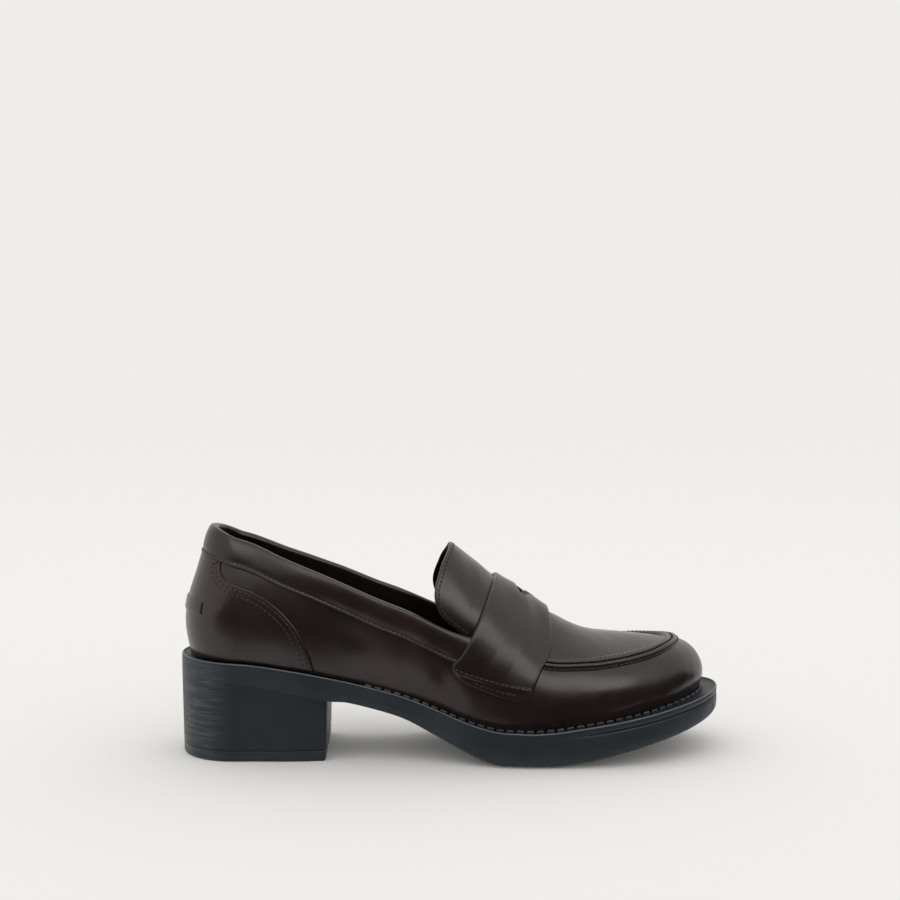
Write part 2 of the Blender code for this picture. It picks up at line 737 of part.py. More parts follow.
def make_heel(material):
    """The heel block, from the lift to the sole."""
    return heel_part(
        "heel",
        lambda x: LIFT_THICKNESS + FIT_GAP + 0 * x,
        lambda x: ground(x) - FIT_GAP,
        (HEEL_INSET + HEEL_TAPER, HEEL_INSET),
        material,
    )


def make_lift(material):
    """The flat top lift that the heel stands on."""
    return heel_part(
        "top_lift",
        lambda x: 0 * x,
        lambda x: LIFT_THICKNESS + 0 * x,
        (HEEL_INSET + HEEL_TAPER, HEEL_INSET + HEEL_TAPER),
        material,
    )


def build_shoe():
    """Clears the scene and builds every piece of the shoe."""
    for old in list(bpy.data.objects):
        bpy.data.objects.remove(old, do_unlink=True)
    collection = bpy.data.collections.new("loafer_pump")
    bpy.context.scene.collection.children.link(collection)
    shoe = bpy.data.objects.new("shoe", None)
    shoe.location = (-HEEL_CENTRE, 0, 0)
    collection.objects.link(shoe)

    calf = leather("polished_calf", BURGUNDY, 0.35)
    rubber = leather("moulded_rubber", INK, 0.45)
    lining = leather("lining_leather", LINING, 0.60)
    for make in (make_upper, make_tongue, make_strap, make_counter, make_band, make_tab, make_seam):
        make(calf)
    make_insole(lining)
    for make in (make_welt, make_outsole, make_heel, make_lift):
        make(rubber)


build_shoe()
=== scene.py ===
"""A right loafer pump in polished calf on a moulded sole, dressed piece by piece over its CAD frame.

The shape of the last comes from the same named sizes and tables as the solids, in metres. A station is
a share from 0, the middle of the heel's back, to 1, the tip of the toe, along one side. A height on the
last is a share from 0, the feather line, to 1, the collar or the apron's edge, and from there to 2, the
ridge along the middle of the instep. Lifts, insets and seams in the leather pieces are in millimetres.
"""

import math
from collections import namedtuple

import bpy
import numpy as np
from mathutils import Matrix, Vector
from mathutils.bvhtree import BVHTree


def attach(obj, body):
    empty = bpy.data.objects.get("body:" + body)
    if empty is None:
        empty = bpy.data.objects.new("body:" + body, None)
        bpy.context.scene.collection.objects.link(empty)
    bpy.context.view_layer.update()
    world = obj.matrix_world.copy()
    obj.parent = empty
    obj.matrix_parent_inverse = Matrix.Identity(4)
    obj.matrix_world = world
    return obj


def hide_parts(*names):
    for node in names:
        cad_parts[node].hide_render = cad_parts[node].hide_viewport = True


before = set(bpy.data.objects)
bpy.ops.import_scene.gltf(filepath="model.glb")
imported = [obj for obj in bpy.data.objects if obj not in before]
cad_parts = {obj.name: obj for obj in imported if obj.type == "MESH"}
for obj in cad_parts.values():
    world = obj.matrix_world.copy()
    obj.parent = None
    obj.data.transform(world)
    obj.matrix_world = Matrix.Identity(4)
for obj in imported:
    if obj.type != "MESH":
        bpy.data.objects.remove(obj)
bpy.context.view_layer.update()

# Driving sizes of the sole and heel
SOLE_LENGTH = 0.257
BALL_WIDTH = 0.093
HEEL_WIDTH = 0.058
HEEL_DEPTH = 0.070
HEEL_SEAT_RISE = 0.047
BREAST_RISE = 0.0281
FOREPART_RISE = 0.0160
DECK_SPRING = 0.0132
TOE_SPRING = 0.0172
TOE_SWING = 0.004
HEEL_ROUNDING = 0.027
TOE_ROUNDING = 0.065
WELT_THICKNESS = 0.0034
LIFT_THICKNESS = 0.0050
HEEL_TAPER = 0.0006
HEEL_CENTRE = 0.035

# Driving sizes of the upper and what lies on it
BACK_HEIGHT = 0.0595
TONGUE_RISE = 0.040
UPPER_WALL = 0.0018
STRAP_THICKNESS = 0.0016
TONGUE_THICKNESS = 0.0020
INSOLE_THICKNESS = 0.0028
BAND_HEIGHT = 0.0120
SEAM_DROP = 0.0014
LEDGE = 0.0025
FIT_GAP = 0.0003
STRAP_LIFT = 0.0006

STATIONS = 36
LATERAL, MEDIAL = -1, 1

Edge = namedtuple("Edge", "along lateral medial")
# The welt's half-width, as a share of the way from the heel's half-width to the ball's
EDGES = (
    Edge(0.000, 0.00, -0.02),
    Edge(0.120, 0.00, -0.02),
    Edge(0.210, 0.05, -0.03),
    Edge(0.310, -0.04, -0.16),
    Edge(0.400, 0.11, -0.10),
    Edge(0.467, 0.34, 0.10),
    Edge(0.530, 0.66, 0.37),
    Edge(0.600, 0.92, 0.66),
    Edge(0.650, 1.00, 0.78),
    Edge(0.720, 1.01, 0.86),
    Edge(1.000, 0.96, 0.84),
)

Rise = namedtuple("Rise", "along deck ground")
# Heights of the welt's top and of the sole's underside. Behind the ball they are shares of the heel's
# rises over the forepart, and in front of it shares of the spring of the deck and of the toe.
REAR_RISES = (
    Rise(0.000, 1.000, 1.380),
    Rise(0.120, 0.945, 1.280),
    Rise(0.210, 0.842, 1.125),
    Rise(0.272, 0.735, 1.000),
    Rise(0.330, 0.625, 0.886),
    Rise(0.405, 0.471, 0.700),
    Rise(0.467, 0.294, 0.425),
    Rise(0.510, 0.161, 0.225),
    Rise(0.550, 0.061, 0.070),
    Rise(0.585, 0.012, 0.000),
    Rise(0.640, 0.000, 0.000),
)
TOE_RISES = (
    Rise(0.640, 0.000, 0.000),
    Rise(0.675, 0.040, 0.000),
    Rise(0.728, 0.180, 0.090),
    Rise(0.794, 0.370, 0.285),
    Rise(0.852, 0.540, 0.470),
    Rise(0.914, 0.735, 0.670),
    Rise(0.949, 0.840, 0.795),
    Rise(0.977, 0.920, 0.905),
    Rise(1.000, 1.000, 1.000),
)

Section = namedtuple("Section", "along foot low low_up mid mid_up lateral medial up")
# The last, section by section. foot, low, mid and lateral or medial are how far in from the welt's edge
# the feather line, the widest line, the shoulder and the top line lie, as shares of half the ball's width.
# low_up and mid_up are shares of the top line's height over the feather line, and up is that height as a
# share of the back's.
SECTIONS = (
    Section(0.000, 0.108, 0.067, 0.34, 0.187, 0.69, 0.322, 0.322, 1.000),
    Section(0.056, 0.100, 0.062, 0.34, 0.172, 0.69, 0.308, 0.308, 0.966),
    Section(0.113, 0.092, 0.056, 0.34, 0.146, 0.69, 0.290, 0.285, 0.925),
    Section(0.195, 0.080, 0.040, 0.35, 0.084, 0.69, 0.180, 0.170, 0.828),
    Section(0.250, 0.072, 0.024, 0.36, 0.039, 0.69, 0.098, 0.078, 0.783),
    Section(0.315, 0.065, 0.000, 0.37, -0.012, 0.69, 0.006, -0.040, 0.728),
    Section(0.375, 0.065, -0.010, 0.38, -0.024, 0.69, -0.006, -0.062, 0.682),
    Section(0.440, 0.070, -0.012, 0.38, -0.026, 0.69, -0.012, -0.040, 0.659),
    Section(0.490, 0.080, 0.008, 0.38, 0.000, 0.69, 0.026, 0.010, 0.640),
    Section(0.540, 0.094, 0.028, 0.37, 0.034, 0.69, 0.090, 0.070, 0.640),
    Section(0.603, 0.106, 0.044, 0.36, 0.082, 0.68, 0.200, 0.170, 0.590),
    Section(0.689, 0.118, 0.062, 0.36, 0.125, 0.69, 0.290, 0.270, 0.487),
    Section(0.759, 0.130, 0.078, 0.36, 0.150, 0.72, 0.300, 0.290, 0.451),
    Section(0.874, 0.152, 0.106, 0.37, 0.200, 0.77, 0.355, 0.350, 0.424),
    Section(0.930, 0.170, 0.128, 0.38, 0.235, 0.80, 0.420, 0.420, 0.413),
    Section(1.000, 0.187, 0.150, 0.38, 0.268, 0.82, 0.500, 0.500, 0.391),
)

Ridge = namedtuple("Ridge", "along dome arch")
# The ridge of the instep over the top line, as a share of the tongue's rise, and how strongly the arch
# starts. ARRIVE is how flat the arch is at the ridge.
RIDGES = (
    Ridge(0.440, 1.090, 0.75),
    Ridge(0.496, 0.975, 0.75),
    Ridge(0.540, 0.840, 0.75),
    Ridge(0.584, 0.690, 0.75),
    Ridge(0.625, 0.595, 0.75),
    Ridge(0.660, 0.510, 0.75),
    Ridge(0.690, 0.430, 0.70),
    Ridge(0.715, 0.345, 0.60),
    Ridge(0.740, 0.272, 0.55),
    Ridge(0.782, 0.185, 0.50),
    Ridge(0.848, 0.092, 0.45),
    Ridge(0.890, 0.030, 0.40),
    Ridge(0.912, 0.000, 0.40),
)
ARRIVE = 1.1

Cut = namedtuple("Cut", "height rear front")
# The strap's edges: shares of the sole's length at each height on the last
STRAP_CUTS = (
    Cut(0.44, 0.503, 0.619),
    Cut(0.50, 0.497, 0.630),
    Cut(0.60, 0.496, 0.640),
    Cut(0.80, 0.512, 0.653),
    Cut(1.00, 0.527, 0.666),
    Cut(1.25, 0.544, 0.674),
    Cut(1.50, 0.560, 0.677),
    Cut(1.75, 0.572, 0.677),
    Cut(2.00, 0.579, 0.676),
)
# How far the strap's lower end slants, and the height under which it does
STRAP_SLANT, STRAP_SQUARE = 0.35, 0.75
# The slot across the strap's top: its middle and half-width as shares of the strap's width, the height
# where it ends, and how narrow its ends are
SLOT_MIDDLE, SLOT_HALF, SLOT_END, SLOT_CORNER = 0.47, 0.13, 1.82, 0.3

Flap = namedtuple("Flap", "height rear")
# The tongue's free edge, as STRAP_CUTS gives the strap's
TONGUE_EDGE = (
    Flap(0.86, 0.545),
    Flap(1.00, 0.528),
    Flap(1.06, 0.505),
    Flap(1.14, 0.476),
    Flap(1.28, 0.466),
    Flap(1.52, 0.477),
    Flap(1.82, 0.494),
    Flap(2.00, 0.498),
)
# Where the throat's front edge lies, and how the tongue tucks inside the sides
THROAT = 0.622
TUCK_REACH = 0.35
TONGUE_CLEARANCE = 0.0016
# How much further forward the tongue's edge lies on the medial side, as a share of the stations
FAR_EDGE = 0.0015

Corner = namedtuple("Corner", "up along")
# The counter's front edge: a share of the back's height over the welt there, and a share of the sole's length
COUNTER_EDGE = (
    Corner(0.00, 0.244),
    Corner(0.10, 0.234),
    Corner(0.24, 0.218),
    Corner(0.35, 0.197),
    Corner(0.44, 0.172),
    Corner(0.51, 0.144),
    Corner(0.555, 0.116),
    Corner(0.60, 0.092),
    Corner(0.68, 0.080),
    Corner(0.76, 0.080),
)
# The back strip's heights and its reach round the heel
TAB_LOW, TAB_HIGH, TAB_REACH = 0.345, 0.445, 0.130

# How far in from the welt's edge the sole's side lies, by its share of the sole's thickness
SOLE_PROFILE = (
    (0.0062, 0.00),
    (0.0030, 0.06),
    (0.0011, 0.15),
    (0.0002, 0.32),
    (0.0000, 0.60),
    (0.0001, 0.92),
    (0.0009, 1.00),
)


def smooth(table, column, knot="along"):
    """A curve through one column of a table that never swings past its rows."""
    knots = np.array([getattr(row, knot) for row in table])
    values = np.array([getattr(row, column) for row in table])
    steps = np.diff(knots)
    rates = np.diff(values) / steps
    slopes = np.concatenate(([rates[0]], np.zeros(len(rates) - 1), [rates[-1]]))
    for i in range(1, len(rates)):
        if rates[i - 1] * rates[i] > 0:
            before, after = 2 * steps[i] + steps[i - 1], steps[i] + 2 * steps[i - 1]
            slopes[i] = (before + after) / (before / rates[i - 1] + after / rates[i])

    def at(place):
        place = np.clip(place, knots[0], knots[-1])
        i = np.clip(np.searchsorted(knots, place, side="right") - 1, 0, len(steps) - 1)
        t = (place - knots[i]) / steps[i]
        value = values[i] * (1 + 2 * t) * (1 - t) ** 2 + values[i + 1] * t * t * (3 - 2 * t)
        return value + steps[i] * (slopes[i] * t * (1 - t) ** 2 + slopes[i + 1] * t * t * (t - 1))

    return at


EDGE = {name: smooth(EDGES, name) for name in ("lateral", "medial")}
SECTION = {name: smooth(SECTIONS, name) for name in Section._fields[1:]}
DOME, ARCH = smooth(RIDGES, "dome"), smooth(RIDGES, "arch")
REAR_DECK, REAR_GROUND = smooth(REAR_RISES, "deck"), smooth(REAR_RISES, "ground")
TOE_DECK, TOE_GROUND = smooth(TOE_RISES, "deck"), smooth(TOE_RISES, "ground")


def by_side(side, curves, along):
    """The lateral or the medial curve's value, by side."""
    return np.where(side == LATERAL, curves["lateral"](along), curves["medial"](along))


def deck(x):
    """Height of the welt's top."""
    along = x / SOLE_LENGTH
    rear = (HEEL_SEAT_RISE - FOREPART_RISE) * REAR_DECK(along)
    return FOREPART_RISE + rear + DECK_SPRING * TOE_DECK(along)


def ground(x):
    """Height of the sole's underside, which is flat on the floor at the ball."""
    along = x / SOLE_LENGTH
    return BREAST_RISE * REAR_GROUND(along) + TOE_SPRING * TOE_GROUND(along)


def rounded(depth, reach):
    """The share of full width at this depth in from a round end."""
    share = np.clip(1 - depth / reach, 0, 1)
    return np.sqrt(1 - share * share)


def centre_line(x):
    """The last's middle, which swings to the medial side in front of the ball."""
    share = np.clip((x / SOLE_LENGTH - 0.55) / 0.45, 0, 1)
    return TOE_SWING * share * share


def edge_point(side, station):
    """A point of the welt's outer edge, from above."""
    x = SOLE_LENGTH * (1 - np.cos(math.pi * station)) / 2
    half = (HEEL_WIDTH + (BALL_WIDTH - HEEL_WIDTH) * by_side(side, EDGE, x / SOLE_LENGTH)) / 2
    half = half * rounded(x, HEEL_ROUNDING) * rounded(SOLE_LENGTH - x, TOE_ROUNDING)
    return np.stack((x, centre_line(x) + side * half), axis=-1)


def inset_point(side, station, inset):
    """A point this far in from the welt's edge, from above."""
    step = 1e-4
    along = edge_point(side, np.clip(station + step, 0, 1)) - edge_point(side, np.clip(station - step, 0, 1))
    along = along / np.linalg.norm(along, axis=-1, keepdims=True)
    out = np.stack((-side * along[..., 1], side * along[..., 0]), axis=-1)
    return edge_point(side, station) - out * np.asarray(inset)[..., None]


def last_lines(side, station):
    """The feather line, the widest line, the shoulder and the top line of the last."""
    along = (1 - np.cos(math.pi * station)) / 2
    top_in = by_side(side, SECTION, along)
    spread = top_in - SECTION["lateral"](along)
    insets = (
        SECTION["foot"](along),
        SECTION["low"](along) + 0.35 * spread,
        SECTION["mid"](along) + 0.75 * spread,
        top_in,
    )
    shares = (0 * along, SECTION["low_up"](along), SECTION["mid_up"](along), 1 + 0 * along)
    plans = [inset_point(side, station, inset * BALL_WIDTH / 2) for inset in insets]
    foot = deck(plans[0][..., 0]) + FIT_GAP
    tall = BACK_HEIGHT * SECTION["up"](along)
    return [
        np.concatenate((plan, (foot + share * tall)[..., None]), axis=-1)
        for plan, share in zip(plans, shares)
    ]


def side_surface(side, station, height):
    """The last's side, with its top line and its direction of climb there."""
    lines = last_lines(side, station)
    spans = [b - a for a, b in zip(lines, lines[1:])]
    lengths = [np.linalg.norm(span, axis=-1, keepdims=True) for span in spans]
    rates = [span / length for span, length in zip(spans, lengths)]
    inner = [
        (rates[i] * lengths[i + 1] + rates[i + 1] * lengths[i]) / (lengths[i] + lengths[i + 1])
        for i in range(2)
    ]
    climbs = [2 * rates[0] - inner[0], inner[0], inner[1], 2 * rates[2] - inner[1]]
    travel = np.clip(height, 0, 1)[..., None] * sum(lengths)
    point = lines[0]
    start = 0
    for i in range(3):
        t = (travel - start) / lengths[i]
        curve = lines[i] * (1 + 2 * t) * (1 - t) ** 2 + lines[i + 1] * t * t * (3 - 2 * t)
        curve = curve + lengths[i] * (climbs[i] * t * (1 - t) ** 2 + climbs[i + 1] * t * t * (t - 1))
        point = np.where(t > 0, curve, point)
        start = start + lengths[i]
    return point, lines[3], climbs[3]


def arch_surface(side, station, share):
    """The last between its top line, share 0, and the ridge of the instep, share 1."""
    _, top, climb = side_surface(side, station, np.ones_like(station))
    other = last_lines(-side, station)[3]
    ridge = (top + other) / 2
    along = ridge[..., 0] / SOLE_LENGTH
    ridge[..., 2] += TONGUE_RISE * DOME(along)
    chord = ridge - top
    length = np.linalg.norm(chord, axis=-1, keepdims=True)
    level = chord * (1, 1, 0)
    level = level / np.maximum(np.linalg.norm(level, axis=-1, keepdims=True), 1e-9)
    steep = np.clip(climb[..., 2:3] / np.linalg.norm(climb, axis=-1, keepdims=True), -1, 1)
    leave = (level * np.sqrt(1 - steep * steep) + steep * (0, 0, 1)) * length * ARCH(along)[..., None]
    arrive = level * length * ARRIVE
    t = share[..., None]
    curve = top * (1 + 2 * t) * (1 - t) ** 2 + ridge * t * t * (3 - 2 * t)
    return curve + leave * t * (1 - t) ** 2 + arrive * t * t * (t - 1)


def last_surface(side, station, height):
    """Points of the last's surface, by their sides, stations and heights."""
    side, station, height = np.broadcast_arrays(side, np.asarray(station, float), np.asarray(height, float))
    below = side_surface(side, station, height)[0]
    if height.max() <= 1:
        return below
    above = arch_surface(side, station, np.clip(height - 1, 0, 1))
    return np.where(height[..., None] <= 1, below, above)


def station_at(side, x, height):
    """The station where the last's surface passes x at this height."""
    stations = np.linspace(0, 1, 241)
    return float(np.interp(x, last_surface(side, stations, height)[:, 0], stations))


def height_at(side, station, z):
    """The height where the last's side passes z at this station."""
    heights = np.linspace(0, 1, 101)
    return float(np.interp(z, last_surface(side, station, heights)[:, 2], heights))


def place_on_side(side, x, z):
    """The station and height where the last's side passes x and z."""
    height = 0.5
    for _ in range(6):
        station = station_at(side, x, height)
        height = height_at(side, station, z)
    return station, height


def ring_of(stations):
    """Sides and stations of a ring from the heel's back along the lateral side to the toe and back."""
    side = [LATERAL] * len(stations) + [MEDIAL] * (len(stations) - 2)
    return np.array(side), np.concatenate((stations, stations[-2:0:-1]))


def across(heights):
    """Sides and heights of a row from the lateral side over the ridge to the medial side."""
    side = [LATERAL] * len(heights) + [MEDIAL] * (len(heights) - 1)
    return np.array(side)[:, None], np.concatenate((heights, heights[-2::-1]))[:, None]


def throat_station():
    """The first station in front of the throat."""
    stations = np.linspace(0, 1, STATIONS + 1)
    return stations[np.searchsorted(stations, station_at(LATERAL, THROAT * SOLE_LENGTH, 1.0))]


def strap_stations(side, height, cut):
    """The stations of one of the strap's edges."""
    edge = smooth(STRAP_CUTS, cut, "height")
    return [station_at(s, float(edge(h)) * SOLE_LENGTH, h) for s, h in zip(side[:, 0], height[:, 0])]


def band_bottom(side, station):
    """The heights of the collar band's lower edge."""
    heights = np.linspace(0.5, 1, 41)
    rises = last_surface(side, station, heights[:, None])[..., 2]
    return np.array([np.interp(rise[-1] - BAND_HEIGHT, rise, heights) for rise in rises.T])


MM = 0.001
# Points nearer to each other than this are one point
SAME_PLACE = 1e-7
# From the part's origin, the heel's back, to the frame's, the middle of the heel
PLACE = np.array((-HEEL_CENTRE, 0, 0))


def on_last(side, station, height, lift):
    """Points this far outside the last, in the frame's place, with steady normals where the apron ends."""
    side, station, height = np.broadcast_arrays(side, np.asarray(station, float), np.asarray(height, float))
    step, climb = 1e-3, 1e-2
    near = np.where(height > 1, np.minimum(station, 0.985), station)
    ahead = last_surface(side, np.clip(near + step, 0, 1), height)
    behind = last_surface(side, np.clip(near - step, 0, 1), height)
    higher = last_surface(side, near, np.clip(height + climb, 0, 2))
    lower = last_surface(side, near, np.clip(height - climb, 0, 2))
    out = -side[..., None] * np.cross(ahead - behind, higher - lower)
    out = out / np.maximum(np.linalg.norm(out, axis=-1, keepdims=True), 1e-12)
    return last_surface(side, station, height) + out * np.broadcast_to(lift, side.shape)[..., None] + PLACE


def eased(size, rim, inner):
    """Shares from 0 to 1 across a size in metres, close together within the rim at both ends."""
    close = np.array((0, 0.08, 0.25, 0.5, 0.8)) * rim / size
    middle = np.linspace(rim / size, 1 - rim / size, inner)
    return np.concatenate((close, middle, 1 - close[::-1]))


def quads_of(number):
    """The quads of a grid of corner numbers."""
    return np.stack((number[:-1, :-1], number[:-1, 1:], number[1:, 1:], number[1:, :-1]), axis=-1)


def new_piece(name, points, faces, materials, slots=None, sharp=50):
    """A mesh object from points and faces, shaded smooth, with a material number per face."""
    mesh = bpy.data.meshes.new(name)
    mesh.from_pydata(np.asarray(points, float).tolist(), [], faces)
    for material in materials:
        mesh.materials.append(material)
    if slots is not None:
        mesh.polygons.foreach_set("material_index", slots)
    mesh.shade_smooth()
    mesh.set_sharp_from_angle(angle=math.radians(sharp))
    mesh.update()
    piece = bpy.data.objects.new(name, mesh)
    bpy.context.scene.collection.objects.link(piece)
    return piece


def settle(piece, slot, *nodes):
    """The piece rides on the shoe and stands for the solids that it dresses."""
    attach(piece, "root")
    if nodes:
        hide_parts(*nodes)
    return piece


def clean_faces(quads):
    """Quads as lists, with doubled corners dropped and empty faces left out."""
    doubled = (quads == np.roll(quads, 1, axis=1)).any(axis=1)
    faces = []
    for quad, flat in zip(quads.tolist(), doubled):
        if flat:
            quad = list(dict.fromkeys(quad))
        if len(quad) > 2:
            faces.append(quad)
    return faces


def skin(name, sheets, materials, sharp=50):
    """A closed body from sheets with an outer and an inner face, joined where their lines meet.

    Each sheet is (key, outer, inner, left_out). key are the points that meeting sheets share, and left_out
    marks quads that stay open. The first material is the outer face's, the second the inner's and the last
    the edge's.
    """
    keys, outers, inners, quads = [], [], [], []
    start = 0
    for key, outer, inner, left_out in sheets:
        rows, columns = outer.shape[:2]
        grid = quads_of(start + np.arange(rows * columns).reshape(rows, columns))
        quads.append(grid.reshape(-1, 4) if left_out is None else grid[~left_out])
        start += rows * columns
        for points, group in ((key, keys), (outer, outers), (inner, inners)):
            group.append(points.reshape(-1, 3))
    keys, outers, inners, quads = (np.concatenate(part) for part in (keys, outers, inners, quads))
    places = np.round(keys / SAME_PLACE).astype(np.int64)
    _, first, number = np.unique(places, axis=0, return_index=True, return_inverse=True)
    quads = number.reshape(-1)[quads]
    outers, inners = outers[first], inners[first]
    count = len(outers)
    starts = quads.reshape(-1).astype(np.int64)
    ends = np.roll(quads, -1, axis=1).reshape(-1).astype(np.int64)
    real = starts != ends
    starts, ends = starts[real], ends[real]
    border = ~np.isin(starts * count + ends, ends * count + starts)
    starts, ends = starts[border], ends[border]
    walls = np.stack((ends, starts, starts + count, ends + count), axis=-1)
    faces, slots = [], []
    last = len(materials) - 1
    for group, slot in ((quads, 0), (quads[:, ::-1] + count, min(1, last)), (walls, last)):
        part = clean_faces(group)
        faces += part
        slots += [slot] * len(part)
    return new_piece(name, np.concatenate((outers, inners)), faces, materials, slots, sharp)


def swept(name, rows, materials, caps, sharp, slots=None):
    """A closed body from rows of points that are joined in turn, the last to the first.

    caps is "ring" where each row is a loop, and "ends" where a face closes the rows at each end.
    """
    rows = np.asarray(rows)
    count, length = rows.shape[:2]
    number = np.arange(count * length).reshape(count, length)
    number = np.concatenate((number, number[:1]))
    if caps == "ring":
        number = np.concatenate((number, number[:, :1]), axis=1)
    faces = quads_of(number).reshape(-1, 4).tolist()
    if caps == "ends":
        first, last = number[:count, 0].tolist(), number[:count, -1].tolist()
        faces += [first, last[::-1]]
    return new_piece(name, rows.reshape(-1, 3), faces, materials, slots, sharp)


def capped(name, rows, materials, sharp=50):
    """A body from rings that start at the heel's back, closed at both ends by ribs across it."""
    rows = np.asarray(rows)
    count, length = rows.shape[:2]
    number = np.arange(count * length).reshape(count, length)
    faces = quads_of(np.concatenate((number, number[:, :1]), axis=1)).reshape(-1, 4).tolist()
    for row, way in ((number[0].tolist(), -1), (number[-1].tolist(), 1)):
        for i in range((length + 1) // 2):
            rib = (row[i], row[(i + 1) % length], row[length - 1 - i], row[(length - i) % length])
            rib = list(dict.fromkeys(rib))
            if len(rib) > 2:
                faces.append(rib[::way])
    return new_piece(name, rows.reshape(-1, 3), faces, materials, sharp=sharp)


# Colours and finishes


# The scuffs, and the painted highlight in them, fade in from the first x to the second, in millimetres in the
# frame
SCUFF_AND_SHEEN_RANGE = (-8, -36)


def linear(code):
    """An sRGB hex colour as linear red, green, blue and alpha."""
    parts = [int(code[i:i + 2], 16) / 255 for i in (1, 3, 5)]
    return tuple(p / 12.92 if p <= 0.04045 else ((p + 0.055) / 1.055) ** 2.4 for p in parts) + (1.0,)


def add(tree, kind, settings=None, **links):
    """Adds a node, sets its own settings and its sockets by name, and returns it."""
    node = tree.nodes.new(kind)
    for key, value in (settings or {}).items():
        setattr(node, key, value)
    for key, value in links.items():
        numbered = key[0] == "_" and key[1:].isdigit()
        socket = node.inputs[int(key[1:]) if numbered else key.replace("_", " ")]
        if isinstance(value, bpy.types.NodeSocket):
            tree.links.new(value, socket)
        else:
            socket.default_value = value
    return node


def per_mm(size):
    """The texture scale that repeats about once in this many millimetres, on coordinates in metres."""
    return 1000 / size


def ramp(tree, value, stops):
    """A colour or grey that follows a value between stops (position, colour)."""
    node = add(tree, "ShaderNodeValToRGB", Fac=value)
    band = node.color_ramp
    while len(band.elements) < len(stops):
        band.elements.new(0.5)
    for element, (place, colour) in zip(band.elements, stops):
        element.position = place
        element.color = colour
    return node.outputs["Color"]


def grey(value):
    return (value, value, value, 1.0)


def start_material(name):
    """An empty Principled material, its tree, its shader and the place in the object's own metres."""
    material = bpy.data.materials.new(name)
    material.use_nodes = True
    tree = material.node_tree
    return material, tree, tree.nodes["Principled BSDF"], add(tree, "ShaderNodeTexCoord").outputs["Object"]


def calfskin(name, dark, warm, roughness, coat, grain):
    """Polished calf: aniline-dyed, so the tone drifts, with a wax polish that pools the gloss.

    The real pores are about 0.2 mm wide, too fine to show, so they are drawn 1.3 mm apart and very shallow.
    """
    material, tree, shader, place = start_material(name)
    drift = add(tree, "ShaderNodeTexNoise", Vector=place, Scale=per_mm(38), Detail=4.0, Roughness=0.55)
    blotch = add(tree, "ShaderNodeTexNoise", Vector=place, Scale=per_mm(7), Detail=3.0)
    tone = add(tree, "ShaderNodeMix", {"data_type": "FLOAT"}, Factor=0.3, A=drift.outputs["Fac"],
               B=blotch.outputs["Fac"])
    colour = ramp(tree, tone.outputs[0], ((0.34, linear(dark)), (0.66, linear(warm))))
    tree.links.new(colour, shader.inputs["Base Color"])
    polish = add(tree, "ShaderNodeTexNoise", Vector=place, Scale=per_mm(16), Detail=5.0, Roughness=0.6)
    gloss = ramp(tree, polish.outputs["Fac"], ((0.3, grey(roughness - 0.05)), (0.7, grey(roughness + 0.06))))
    tree.links.new(gloss, shader.inputs["Roughness"])
    pore = add(tree, "ShaderNodeTexVoronoi", Vector=place, Scale=per_mm(1.3), Randomness=1.0)
    wrinkle = add(tree, "ShaderNodeTexNoise", Vector=place, Scale=per_mm(2.4), Detail=3.0, Roughness=0.6)
    relief = add(tree, "ShaderNodeMath", {"operation": "ADD"}, _0=pore.outputs["Distance"],
                 _1=wrinkle.outputs["Fac"])
    fine = add(tree, "ShaderNodeBump", Height=relief.outputs[0], Strength=grain, Distance=0.06 * MM)
    wave = add(tree, "ShaderNodeTexNoise", Vector=place, Scale=per_mm(24), Detail=2.0)
    soft = add(tree, "ShaderNodeBump", Height=wave.outputs["Fac"], Strength=0.25, Distance=0.6 * MM,
               Normal=fine.outputs[0])
    tree.links.new(soft.outputs[0], shader.inputs["Normal"])
    shader.inputs["IOR"].default_value = 1.5
    shader.inputs["Coat Weight"].default_value = coat
    shader.inputs["Coat Roughness"].default_value = 0.24
    return material


